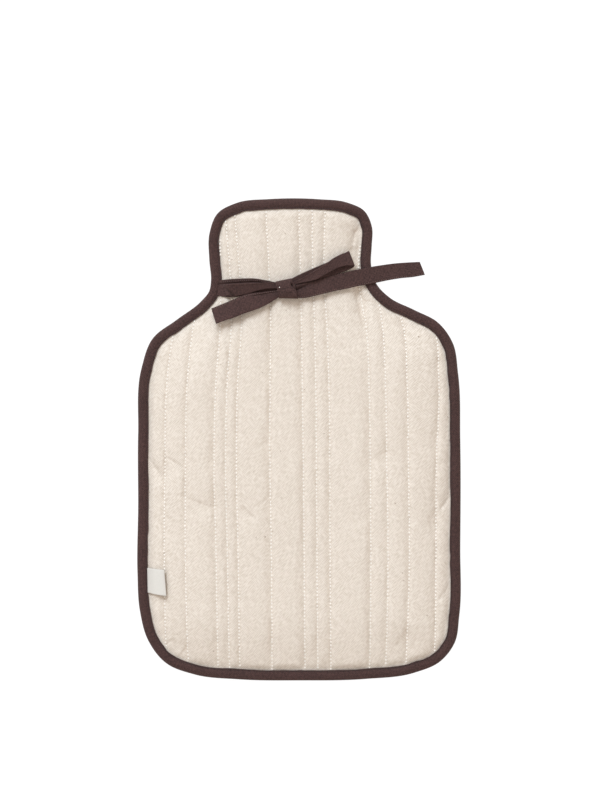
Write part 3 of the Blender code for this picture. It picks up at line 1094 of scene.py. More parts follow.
@dataclass(frozen=True)
class Stitching:
    """Stitches of one size, each a small thread laid from hole to hole."""

    length: float
    width: float
    height: float
    sides: int = 6
    rings: int = 4

    def sew(self, builder: bmesh.types.BMesh, at: Array, ways: Array) -> None:
        """Add one stitch at each place.

        Args:
            builder: the mesh that takes them.
            at: the middles of the stitches.
            ways: the directions they run in.
        """
        shape = bmesh.new()
        bmesh.ops.create_uvsphere(
            shape,
            u_segments=self.sides,
            v_segments=self.rings,
            radius=0.5,
            matrix=Matrix.Diagonal((self.length, self.width, self.height, 1.0)),
        )
        stitch = bpy.data.meshes.new("stitch")
        shape.to_mesh(stitch)
        shape.free()
        for middle, way in zip(at, ways):
            forward = Vector(way).normalized()
            side = Vector((0.0, 0.0, 1.0)).cross(forward).normalized()
            turn = Matrix((forward, side, forward.cross(side))).transposed().to_4x4()
            place = Matrix.Translation(middle) @ turn
            stitch.transform(place)
            builder.from_mesh(stitch)
            stitch.transform(place.inverted())
        bpy.data.meshes.remove(stitch)


# ---- The quilted panels ----


@dataclass
class QuiltedPanel:
    """One quilted panel, cut as if its rows of stitching were straight and then drawn in."""

    relief: CoverRelief
    wardrobe: Wardrobe
    name: str
    node: str
    row_step: float
    column_step: float
    beside_stitches: tuple[float, ...]
    sliver: float
    stitching: Stitching
    stitch_lift: float
    rests_on: str
    beside_share: float = 0.4
    stitch_pitch: float = 2.63
    stitch_margin: float = 0.45
    pitch_shake: float = 0.12
    side_shake: float = 0.1
    first_seed: int = 500
    past_foot: float = 12.0
    past_top: float = 6.0
    cover_end: float = 181.0
    gathers: SoftNoise = field(default_factory=lambda: SoftNoise(11))
    crests: SoftNoise = field(default_factory=lambda: SoftNoise(23))
    ripples: SoftNoise = field(default_factory=lambda: SoftNoise(37))

    def reach(self, y: Array) -> Array:
        """How far from the outline the seam allowance ends at a height."""
        return np.full(len(y), PANEL_EDGE)

    def under(self, at: Array, near: Nearest) -> Array:
        """The lower side's height."""
        raise NotImplementedError

    def top(self, at: Array, near: Nearest) -> Array:
        """The upper side's height."""
        raise NotImplementedError

    def columns(self) -> list[float]:
        """Where the straight cloth is cut lengthwise.

        Returns:
            Places across it: close together beside the stitches.
        """
        cuts: list[float] = []
        flat = self.relief.quilt.flat
        for left, right in zip(flat[:-1], flat[1:]):
            room = self.beside_share * (right - left)
            near = [step for step in self.beside_stitches if step < room]
            inner_left, inner_right = left + near[-1], right - near[-1]
            count = max(1, round((inner_right - inner_left) / self.column_step))
            middle = np.linspace(inner_left, inner_right, count + 1)[1:-1]
            cuts += [left] + [left + step for step in near] + list(middle)
            cuts += [right - step for step in reversed(near)]
        return cuts[1:]

    def flat_cloth(self) -> bmesh.types.BMesh:
        """The straight cloth inside the seam, cut into fine cells and drawn in.

        Returns:
            A flat mesh.
        """
        quilt, edge = self.relief.quilt, self.relief.edge
        ring = edge.points + edge.inward * SEAM_INNER
        across = quilt.to_flat(ring[:, 0], ring[:, 1])
        panel = bmesh.new()
        panel.faces.new([panel.verts.new((u, y, 0.0)) for u, y in zip(across, ring[:, 1])])
        low, high = ring[:, 1].min(), ring[:, 1].max()
        for y in np.arange(low + self.row_step, high, self.row_step):
            cut_along(panel, (0.0, y, 0.0), (0.0, 1.0, 0.0))
        for cut in self.columns():
            cut_along(panel, (cut, 0.0, 0.0), (1.0, 0.0, 0.0))
        at = places(panel)
        for vert, x in zip(panel.verts, quilt.from_flat(at[:, 0], at[:, 1])):
            vert.co.x = x
        bmesh.ops.remove_doubles(panel, verts=panel.verts, dist=self.sliver)
        self.refine(panel)
        uneven = [face for face in panel.faces if len(face.verts) > 4]
        bmesh.ops.triangulate(panel, faces=uneven)
        return panel

    def refine(self, panel: bmesh.types.BMesh) -> None:
        """Cut the cells smaller where that side needs it."""

    def add_allowance(self, panel: bmesh.types.BMesh) -> None:
        """Extrude the seam allowance out of the sewn line.

        Args:
            panel: the flat mesh that takes it.
        """
        rim = [edge for edge in panel.edges if edge.is_boundary]
        grown = bmesh.ops.extrude_edge_only(panel, edges=rim)["geom"]
        outer = [item for item in grown if isinstance(item, bmesh.types.BMVert)]
        at = np.array([vert.co[:2] for vert in outer])
        near = self.relief.edge.nearest(at)
        moved = at - near.inward * (near.depth - self.reach(at[:, 1]))[:, None]
        for vert, (x, y) in zip(outer, moved):
            vert.co.x, vert.co.y = x, y

    def build(self) -> bpy.types.Object:
        """Make the panel.

        Returns:
            The finished piece.
        """
        panel = self.flat_cloth()
        self.add_allowance(panel)
        raised = bmesh.ops.extrude_face_region(panel, geom=list(panel.faces))["geom"]
        upper = {item for item in raised if isinstance(item, bmesh.types.BMVert)}
        at = places(panel)[:, :2]
        near = self.relief.edge.nearest(at)
        heights = np.where(
            [vert in upper for vert in panel.verts], self.top(at, near), self.under(at, near)
        )
        move_to(panel, np.column_stack([at, heights]))
        across = self.relief.quilt.to_flat(at[:, 0], at[:, 1])

        def cloth(face: bmesh.types.BMFace) -> list[tuple[float, float]]:
            """The straight cloth's coordinates at a face's corners."""
            return [(across[vert.index], at[vert.index, 1]) for vert in face.verts]

        piece = Piece(self.name, self.wardrobe.cotton, Slot.COTTON, (self.node,))
        return piece.finish(panel, cloth)

    def thread_line(self, row: int) -> Array:
        """The middles of one row's stitches.

        Args:
            row: which row, from the left.

        Returns:
            Their points on the cover, seen from above.
        """
        quilt = self.relief.quilt
        shake = np.random.default_rng(self.first_seed + row)
        foot, top = quilt.heights.foot - self.past_foot, quilt.heights.top + self.past_top
        y = np.arange(foot, top, self.stitch_pitch)
        y = y + shake.uniform(0.0, self.stitch_pitch) + shake.normal(0.0, self.pitch_shake, len(y))
        x = quilt.positions(y)[:, row + 1] + shake.normal(0.0, self.side_shake, len(y))
        at = np.stack([x, y], axis=1)
        inside = self.relief.edge.nearest(at).depth > BINDING_WIDTH + self.stitch_margin
        inside &= np.abs(y) < self.cover_end
        return at[inside]

    def stitches(self) -> bpy.types.Object:
        """Sew the rows of stitching.

        Returns:
            The finished piece.
        """
        builder = bmesh.new()
        for row in range(len(self.relief.quilt.rows)):
            at = self.thread_line(row)
            z = self.face(at, self.relief.edge.nearest(at)) + self.stitch_lift
            line = np.column_stack([at, z])
            self.stitching.sew(builder, line, np.gradient(line, axis=0))
        thread = Piece(self.name + "_thread", self.wardrobe.cream_thread, Slot.COTTON)
        return thread.finish(builder)

    def dress(self) -> None:
        """Make the panel and its stitches."""
        self.build()
        self.stitches()

    def face(self, at: Array, near: Nearest) -> Array:
        """The outer face's height."""
        return self.top(at, near)


@dataclass
class FrontPanel(QuiltedPanel):
    """The front, which stands off the back and carries the folds that the photo shows."""

    rise_wander: Wander = Wander(0.3, 19.0, 3.7, 9.0)
    fall_wander: Wander = Wander(0.45, 16.0, 5.3)
    crest_wander: Wander = Wander(0.05, 27.0, 7.1)
    least_fall: float = 0.45
    pull_lift: float = 0.9
    gather_depth: float = 0.42
    gather_wave: Wander = Wander(1.0, 4.2, 4.1)
    gather_spells: Wander = Wander(0.5, 31.0, 2.3, 30.0)
    gather_slant: float = 0.45
    gather_place: float = 2.2
    gather_width: float = 2.6
    other_side: float = 17.0
    seam_pucker: float = 0.6
    pucker_place: float = 3.0
    pucker_width: float = 5.4
    puckers: tuple[Ripple, ...] = (Ripple(1.0, 6.5, 1.0, 0.0, 3.0), Ripple(0.5, 3.1, 1.0, 0.0, 8.0))
    swells: tuple[Ripple, ...] = (Ripple(0.16, 15.0, 15.0), Ripple(0.08, 4.6, 3.8, 11.0, 5.0))
    crease_reach: float = 3.2
    crease_ends: float = 0.6
    crease_cuts: int = 2

    def under(self, at: Array, near: Nearest) -> Array:
        """The side that faces the pocket."""
        return FRONT_SEWN_Z + self.relief.pocket(at, near)

    def refine(self, panel: bmesh.types.BMesh) -> None:
        """Cut smaller cells along the creases.

        Args:
            panel: the flat mesh to cut.
        """
        edges = list(panel.edges)
        middles = np.array([0.5 * (edge.verts[0].co + edge.verts[1].co) for edge in edges])[:, :2]
        close = np.zeros(len(edges), bool)
        for crease in self.relief.creases:
            along, across = crease.offsets(middles)
            beside = np.abs(across) < self.crease_reach
            close |= (np.abs(along) < self.crease_ends * crease.length) & beside
        chosen = [edge for edge, near in zip(edges, close) if near and not edge.is_boundary]
        bmesh.ops.subdivide_edges(panel, edges=chosen, cuts=self.crease_cuts, use_grid_fill=True)

    def quilted(self, at: Array) -> Array:
        """The quilting's thickness, with the unevenness of filled cloth.

        Args:
            at: points, one row each.

        Returns:
            The thickness at each.
        """
        quilt = self.relief.quilt
        share, width, index = quilt.channel(quilt.to_flat(at[:, 0], at[:, 1]))
        rise = quilt.rise_run * (1.0 + self.rise_wander.read(self.crests, at[:, 1], index))
        pull = np.array(quilt.pulls)[index - 1]
        fall = quilt.fall_run * (1.0 + self.fall_wander.read(self.crests, at[:, 1], index))
        fall *= self.least_fall + (1.0 - self.least_fall) * pull
        puff = (1.0 - np.exp(-share * width / rise)) * (
            1.0 - np.exp(-(((1.0 - share) * width / fall) ** quilt.fall_power))
        )
        crest = quilt.crest(width) * (1.0 + self.crest_wander.read(self.crests, at[:, 1], index))
        crest += self.pull_lift * (pull - 1.0) * share**2
        return quilt.stitched + (crest - quilt.stitched) * puff

    def gathered(self, at: Array) -> Array:
        """Small gathers that run off the rows of stitching.

        Args:
            at: points, one row each.

        Returns:
            The height that they add at each.
        """
        quilt = self.relief.quilt
        share, width, index = quilt.channel(quilt.to_flat(at[:, 0], at[:, 1]))
        off = np.minimum(share, 1.0 - share) * width
        right = share < 0.5
        shift = np.where(right, 0.0, self.other_side)
        slant = np.where(right, self.gather_slant, -self.gather_slant) * off
        wave = self.gather_wave.read(self.gathers, at[:, 1] + slant, index, shift)
        slow = 0.5 + self.gather_spells.read(self.gathers, at[:, 1], index, shift)
        return self.gather_depth * slow * wave * bell(off - self.gather_place, self.gather_width)

    def top(self, at: Array, near: Nearest) -> Array:
        """The face, with its quilting, creases and puckers.

        Args:
            at: points, one row each.
            near: where they lie from the edge.

        Returns:
            The height of each.
        """
        relief = self.relief
        puffed = relief.puffed(near)
        loft = PANEL_SEWN + (self.quilted(at) - PANEL_SEWN) * puffed
        creased = relief.sag(at, relief.creases, relief.crease_section)
        seam = bell(near.depth - SEAM_INNER - self.pucker_place, self.pucker_width)
        pucker = sum(ripple.read(self.ripples, near.along) for ripple in self.puckers)
        swell = sum(ripple.read(self.ripples, *at.T) for ripple in self.swells)
        extra = self.gathered(at) + self.seam_pucker * seam * pucker + swell - creased
        return self.under(at, near) + loft + extra * puffed


@dataclass
class BackPanel(QuiltedPanel):
    """The back, pressed flat by the cover's weight, with its quilting on the outer side."""

    def reach(self, y: Array) -> Array:
        """The allowance leaves the binding at the mouth."""
        free_edge = BINDING_WIDTH + MOUTH_EDGE
        return PANEL_EDGE + (free_edge - PANEL_EDGE) * ease(SEAM_TOP, BACK_LEAVES, y)

    def under(self, at: Array, near: Nearest) -> Array:
        """The face that lies on the surface.

        Args:
            at: points, one row each.
            near: where they lie from the edge.

        Returns:
            The height of each.
        """
        relief, quilt = self.relief, self.relief.quilt
        share, _, _ = quilt.channel(quilt.to_flat(at[:, 0], at[:, 1]))
        crest = relief.back_flatness * (1.0 - np.abs(2.0 * share - 1.0) ** relief.back_power)
        groove = relief.back_groove * np.maximum(1.0 - crest, 0.0)
        return BACK_SEWN_Z + (groove - BACK_SEWN_Z) * relief.puffed(near)

    def top(self, at: Array, near: Nearest) -> Array:
        """The side that faces the pocket."""
        rise = self.relief.back_thickness - BACK_SEWN_Z - PANEL_SEWN
        return BACK_SEWN_Z + PANEL_SEWN + rise * self.relief.puffed(near)

    def face(self, at: Array, near: Nearest) -> Array:
        """The outer face's height."""
        return self.under(at, near)


# ---- The binding ----


class SectionPoint(NamedTuple):
    """A point of the binding's section: its place inwards, and its height off two levels.

    lean says which: 0 is the lower lip's height, 1 the upper cover's.
    """

    depth: float
    lean: float
    height: float


@dataclass
class EdgeBinding:
    """The bias strip folded over the edge, sewn down near its inner fold."""

    relief: CoverRelief
    wardrobe: Wardrobe
    name: str = "edge_binding_cloth"
    stations: int = 1100
    stitch_pitch: float = 2.0
    stitch_line: float = 6.9
    stitching: Stitching = Stitching(1.3, 0.62, 0.36)
    stitch_lift: float = 0.14
    arc_shake: float = 0.06
    line_shake: float = 0.05
    first_stitch: float = 0.5
    stitch_groove: float = 0.6
    groove_width: float = 0.6
    groove_least: float = 0.3
    ripple: float = 0.13
    ripple_run: tuple[float, float] = (0.4, 3.0)
    ripples: tuple[Ripple, ...] = (Ripple(1.0, 7.0, 5.0), Ripple(0.6, 3.3, 4.0, 0.0, 20.0))
    edge_waver: Ripple = Ripple(0.22, 6.0, 1.0, 0.0, 40.0)
    waver_run: tuple[float, float] = (5.5, 8.0)
    cover_points: int = 12
    spin_radius: float = 100.0
    flat_width: float = 20.0
    seed: int = 71
    waves: SoftNoise = field(default_factory=lambda: SoftNoise(53))
    section: tuple[SectionPoint, ...] = rows_of(
        SectionPoint,
        (8.0, 1.0, -0.3), (7.85, 1.0, -0.04), (7.45, 1.0, 0.0), (6.9, 1.0, -0.05),
        (6.3, 1.0, 0.2), (5.4, 1.0, 0.52), (4.4, 1.0, 0.72), (3.2, 1.0, 0.66),
        (2.1, 1.0, 0.36), (1.3, 1.0, -0.14), (0.7, 1.0, -0.68), (0.28, 1.0, -1.4),
        (0.05, 0.62, 0.0), (0.05, 0.38, 0.0), (0.28, 0.0, 1.5), (0.7, 0.0, 0.85),
        (1.3, 0.0, 0.36), (2.1, 0.0, 0.05), (4.4, 0.0, 0.0), (7.6, 0.0, 0.02),
        (8.0, 0.0, 0.3), (8.0, 0.0, 0.6), (7.7, 0.0, 0.9), (2.45, 0.0, 0.9),
        (1.1, 0.5, 0.0), (2.45, 1.0, -0.9), (4.4, 1.0, -0.55), (7.7, 1.0, -0.9),
        (8.0, 1.0, -0.6),
    )

    def levels(self, points: Array) -> tuple[Array, Array]:
        """The heights of the lower lip and the upper cover along the edge.

        Args:
            points: points on the outline.

        Returns:
            The two heights at each.
        """
        lift = self.relief.pocket(points, self.relief.edge.nearest(points))
        free_lip = FRONT_SEWN_Z - GAP - BINDING_CLOTH + lift
        return free_lip * ease(LIP_RISES, LIP_RISEN, points[:, 1]), BINDING_TOP + lift

    def cover_relief(self, arc: Array, depth: Array) -> Array:
        """Ripples and the sewn groove of the upper side.

        Args:
            arc: distance along the edge.
            depth: distance inwards.

        Returns:
            The height that they add.
        """
        stretch = sum(ripple.read(self.waves, arc, depth) for ripple in self.ripples)
        beat = 0.5 + 0.5 * np.cos(2.0 * math.pi * arc / self.stitch_pitch)
        pressed = self.groove_least + (1.0 - self.groove_least) * beat
        groove = self.stitch_groove * bell(depth - self.stitch_line, self.groove_width) * pressed
        return self.ripple * stretch * ease(*self.ripple_run, depth) - groove

    def build(self) -> bpy.types.Object:
        """Carry the section round the edge.

        Returns:
            The finished piece.
        """
        section = np.array(self.section)
        count = len(section)
        builder = bmesh.new()
        radius = self.spin_radius + np.cos(2.0 * math.pi * np.arange(count) / count)
        height = np.sin(2.0 * math.pi * np.arange(count) / count)
        ring = [builder.verts.new((r, 0.0, z)) for r, z in zip(radius, height)]
        for i in range(count):
            builder.edges.new((ring[i - 1], ring[i]))
        spin_round(builder, (0.0, 0.0, 1.0), self.stations)
        at = places(builder)
        around = np.arctan2(at[:, 1], at[:, 0]) / (2.0 * math.pi) * self.stations
        station = np.rint(around).astype(int) % self.stations
        swing = np.arctan2(at[:, 2], np.hypot(at[:, 0], at[:, 1]) - self.spin_radius)
        slot = np.rint(swing / (2.0 * math.pi) * count).astype(int) % count

        arcs = np.arange(self.stations) * self.relief.edge.total / self.stations
        points, inward = self.relief.edge.at(arcs)
        lips, covers = self.levels(points)
        depth, lean, rise = section[slot].T
        waver = self.edge_waver.read(self.waves, arcs[station])
        depth = depth + waver * ease(*self.waver_run, depth)
        z = lips[station] * (1.0 - lean) + covers[station] * lean + rise
        upper = slot < self.cover_points
        z = z + np.where(upper, self.cover_relief(arcs[station], depth), 0.0)
        at = points[station] + inward[station] * depth[:, None]
        move_to(builder, np.column_stack([at, z]))

        spread = np.linalg.norm(np.diff(section[:, [0, 2]], axis=0), axis=1)
        developed = np.concatenate([[0.0], np.cumsum(spread)])
        step = self.relief.edge.total / self.stations

        def cloth(face: bmesh.types.BMFace) -> list[tuple[float, float]]:
            """Distance along and across the strip at a face's corners.

            Args:
                face: a face of the strip.

            Returns:
                A pair for each corner, in millimetres.
            """
            where = [station[vert.index] for vert in face.verts]
            closing = max(where) - min(where) > 1
            return [
                (
                    (stop + (self.stations if closing and stop == 0 else 0)) * step,
                    developed[slot[vert.index]],
                )
                for stop, vert in zip(where, face.verts)
            ]

        piece = Piece(self.name, self.wardrobe.binding, Slot.BROWN, ("edge_binding",))
        return piece.finish(builder, cloth)

    def stitches(self) -> bpy.types.Object:
        """Sew the binding down along its inner fold.

        Returns:
            The finished piece.
        """
        edge = self.relief.edge
        shake = np.random.default_rng(self.seed)
        arcs = np.arange(self.first_stitch, edge.total, self.stitch_pitch)
        arcs = arcs + shake.normal(0.0, self.arc_shake, len(arcs))
        points, inward = edge.at(arcs)
        depth = self.stitch_line + shake.normal(0.0, self.line_shake, len(arcs))
        _, covers = self.levels(points)
        z = covers + self.cover_relief(arcs, depth) + self.stitch_lift
        line = np.column_stack([points + inward * depth[:, None], z])
        ways = np.roll(line, -1, axis=0) - np.roll(line, 1, axis=0)
        builder = bmesh.new()
        self.stitching.sew(builder, line, ways)
        return Piece("edge_binding_thread", self.wardrobe.brown_thread, Slot.BROWN).finish(builder)


# ---- Ribbons, the bow and the label ----


class RibbonRow(NamedTuple):
    """One crossing of a ribbon, from its upper edge to its lower one.

    Each edge has its x, its y and how far it stands off whatever lies below.
    """

    upper_x: float
    upper_y: float
    upper_rise: float
    lower_x: float
    lower_y: float
    lower_rise: float


class Pleat(NamedTuple):
    """A lengthwise fold: where it starts across the ribbon, its size and where it fades out."""

    across: float
    drift: float
    width: float
    height: float
    begins: float
    gone: float


@dataclass
class Ribbon:
    """A strip of folded cloth laid along its rows."""

    relief: CoverRelief
    name: str
    node: str
    rows: tuple[RibbonRow, ...]
    pleats: tuple[Pleat, ...] = ()
    cloth: float = 0.9
    flat_width: float = 12.5
    step: float = 0.6
    columns: int = 26
    edge_round: float = 0.55
    rim_least: float = 0.12
    seam_across: float | None = None
    seam_depth: float = 0.3
    seam_width: float = 0.55
    waver: float = 0.14
    waver_length: float = 8.0
    waver_lanes: float = 2.0
    least_cells: int = 6
    probe: float = 2e-3
    seed: int = 3
    shown_share: float = 1.0
    held: Hold = Hold.DRAPED
    knots: Array = field(init=False)
    edges: Array = field(init=False)
    length: float = field(init=False)

    def __post_init__(self) -> None:
        """Stand the rows on what lies below, and measure along them."""
        table = np.array(self.rows)
        for first in (0, 3):
            table[:, first + 2] += self.relief.ground(table[:, first : first + 2])
        middle = 0.5 * (table[:, :3] + table[:, 3:])
        steps = np.linalg.norm(np.diff(middle, axis=0), axis=1)
        self.length = float(steps.sum())
        self.knots = np.concatenate([[0.0], np.cumsum(steps)]) / self.length
        self.edges = table

    def middle(self, along: Array, across: Array) -> Array:
        """The middle surface of the cloth.

        Args:
            along: the share of the way along the rows.
            across: from -0.5 at the lower edge to 0.5 at the upper one.

        Returns:
            Points in space.
        """
        row = smooth_through(self.knots, self.edges, along)
        share = (across + 0.5)[:, None]
        place = row[:, :3] * share + row[:, 3:] * (1.0 - share)
        for pleat in self.pleats:
            fade = 1.0 - ease(pleat.begins, pleat.gone, along)
            off = across - pleat.across - pleat.drift * along
            place[:, 2] += pleat.height * fade * bell(off, pleat.width)
        noise = SoftNoise(self.seed)
        run = along * self.length / self.waver_length
        place[:, 2] += self.waver * noise(run, across * self.waver_lanes)
        return place

    def build(self, material: bpy.types.Material, slot: Slot) -> bpy.types.Object:
        """Lay the ribbon.

        Args:
            material: its finish.
            slot: the record's slot.

        Returns:
            The finished piece.
        """
        builder = bmesh.new()
        bmesh.ops.create_grid(
            builder,
            x_segments=max(self.least_cells, math.ceil(self.length / self.step)),
            y_segments=self.columns,
            size=0.5,
        )
        raised = bmesh.ops.extrude_face_region(builder, geom=list(builder.faces))["geom"]
        upper = {item for item in raised if isinstance(item, bmesh.types.BMVert)}
        side = np.where([vert in upper for vert in builder.verts], 1.0, -1.0)
        at = places(builder)
        along, across = at[:, 0] + 0.5, at[:, 1]
        ahead = self.middle(np.minimum(along + self.probe, 1.0), across)
        behind = self.middle(np.maximum(along - self.probe, 0.0), across)
        left = self.middle(along, across + self.probe)
        right = self.middle(along, across - self.probe)
        normal = np.cross(ahead - behind, left - right)
        normal /= np.linalg.norm(normal, axis=1)[:, None]
        rim = (0.5 - np.abs(across)) * self.flat_width
        half = 0.5 * self.cloth * np.sqrt(np.clip(rim / self.edge_round, self.rim_least, 1.0))
        if self.seam_across is not None:
            off = (across - self.seam_across) * self.flat_width
            half = half - self.seam_depth * bell(off, self.seam_width)
        move_to(builder, self.middle(along, across) + normal * (side * half)[:, None])

        def cloth(face: bmesh.types.BMFace) -> list[tuple[float, float]]:
            """Distance along and across the ribbon at a face's corners.

            Args:
                face: a face of the ribbon.

            Returns:
                A pair for each corner, in millimetres.
            """
            return [
                (along[vert.index] * self.length, across[vert.index] * self.flat_width)
                for vert in face.verts
            ]

        obj = Piece(self.name, material, slot, (self.node,)).finish(builder, cloth)
        return obj

    def seam_line(self, pitch: float) -> tuple[Array, Array]:
        """Places for stitches along the ribbon's seam.

        Args:
            pitch: from stitch to stitch.

        Returns:
            Their middles and directions.
        """
        count = int(self.length / pitch)
        along = (np.arange(count) + 0.5) / count
        line = self.middle(along, np.full(count, self.seam_across))
        lift = 0.5 * self.cloth - 0.5 * self.seam_depth
        return line + (0.0, 0.0, lift), np.gradient(line, axis=0)


class BandMark(NamedTuple):
    """A dent or a fold in the knot's band: its middle, its half widths and its height."""

    along: float
    up: float
    along_width: float
    up_width: float
    height: float


@dataclass
class BowKnot:
    """The band of the knot: a tube of cloth round the ribbons that pass through it."""

    relief: CoverRelief
    corners: tuple[tuple[float, float], ...] = (
        (-17.6, 118.2),
        (-5.7, 120.7),
        (-0.6, 105.5),
        (-14.9, 105.8),
    )
    foot: float = 0.6
    height: float = 9.4
    edge_power: float = 0.72
    dome_power: float = 0.88
    end_drop: float = 0.12
    end_power: float = 2.5
    top_run: float = 0.5
    columns: int = 30
    around: int = 72
    cloth: float = 0.8
    girth: float = 44.0
    band_width: float = 12.5
    wrinkle: float = 0.25
    wrinkle_lanes: tuple[float, float, float] = (4.0, 2.0, 3.0)
    tack_along: float = 0.17
    tack_up: float = 0.24
    tack_lift: float = 0.15
    tack_way: tuple[float, float, float] = (1.0, 0.3, 0.0)
    tack_stitch: Stitching = Stitching(1.0, 0.8, 0.5, sides=10, rings=6)
    wrinkles: SoftNoise = field(default_factory=lambda: SoftNoise(91))
    marks: tuple[BandMark, ...] = rows_of(
        BandMark,
        (0.9, 0.15, 0.05, 0.09, -4.0), (0.8, 0.2, 0.035, 0.16, 1.0),
        (0.72, 0.36, 0.04, 0.14, -0.4), (0.14, 0.12, 0.05, 0.05, -0.5),
        (0.13, -0.22, 0.05, 0.2, -0.9), (0.25, -0.2, 0.05, 0.22, 0.5),
        (0.93, -0.12, 0.05, 0.16, -1.0), (0.6, -0.1, 0.18, 0.12, 0.5),
        (0.45, -0.33, 0.2, 0.06, -0.35),
    )

    def shape(self, along: Array, turn: Array) -> Array:
        """The band's outer surface.

        Args:
            along: from 0 at its left opening to 1 at its right one.
            turn: the angle round it, a quarter turn being the top.

        Returns:
            Points in space.
        """
        up = 0.5 * np.sign(np.cos(turn)) * np.abs(np.cos(turn)) ** self.edge_power
        rise = 0.5 + 0.5 * np.sign(np.sin(turn)) * np.abs(np.sin(turn)) ** self.dome_power
        top_left, top_right, low_right, low_left = np.array(self.corners)
        across, down = along[:, None], (0.5 - up)[:, None]
        upper = top_left * (1.0 - across) + top_right * across
        lower = low_left * (1.0 - across) + low_right * across
        middle = np.array(self.corners).mean(axis=0)
        base = self.relief.ground(middle[None])[0] + self.foot
        drop = self.end_drop * np.abs(2.0 * along - 1.0) ** self.end_power
        z = base + rise * self.height * (1.0 - drop)
        on_top = ease(0.0, self.top_run, np.sin(turn))
        for mark in self.marks:
            dent = bell(along - mark.along, mark.along_width) * bell(up - mark.up, mark.up_width)
            z = z + on_top * mark.height * dent
        run, lean, lanes = self.wrinkle_lanes
        z = z + on_top * self.wrinkle * self.wrinkles(along * run + up * lean, up * lanes)
        return np.column_stack([upper * (1.0 - down) + lower * down, z])

    def build(self, material: bpy.types.Material, thread: bpy.types.Material) -> bpy.types.Object:
        """Wrap the band and tack it with one pale stitch.

        Args:
            material: the band's finish.
            thread: the stitch's finish.

        Returns:
            The finished band.
        """
        builder = bmesh.new()
        line = [builder.verts.new((x, 1.0, 0.0)) for x in np.linspace(0.0, 1.0, self.columns)]
        for pair in zip(line[:-1], line[1:]):
            builder.edges.new(pair)
        spin_round(builder, (1.0, 0.0, 0.0), self.around)
        at = places(builder)
        along, turn = at[:, 0], np.arctan2(at[:, 2], at[:, 1])
        move_to(builder, self.shape(along, turn))

        def cloth(face: bmesh.types.BMFace) -> list[tuple[float, float]]:
            """Distance round and across the band at a face's corners.

            Args:
                face: a face of the band.

            Returns:
                A pair for each corner, in millimetres.
            """
            turns = [turn[vert.index] / (2.0 * math.pi) for vert in face.verts]
            closing = max(turns) - min(turns) > 0.5
            return [
                (
                    (share + (1.0 if closing and share < 0.0 else 0.0)) * self.girth,
                    self.band_width * along[vert.index],
                )
                for share, vert in zip(turns, face.verts)
            ]

        obj = Piece("bow_knot_band", material, Slot.BROWN, ("bow_knot",)).finish(builder, cloth)
        wall = obj.modifiers.new("cloth", "SOLIDIFY")
        wall.thickness = self.cloth * MM
        wall.offset = -1.0
        self.tack(thread)
        return obj

    def tack(self, thread: bpy.types.Material) -> bpy.types.Object:
        """The pale stitch that holds the band.

        Args:
            thread: its finish.

        Returns:
            The finished stitch.
        """
        builder = bmesh.new()
        turn = np.array([math.acos(self.tack_up ** (1.0 / self.edge_power))])
        place = self.shape(np.array([self.tack_along]), turn) + (0.0, 0.0, self.tack_lift)
        self.tack_stitch.sew(builder, place, [self.tack_way])
        return Piece("bow_knot_tack", thread, Slot.BROWN).finish(builder)


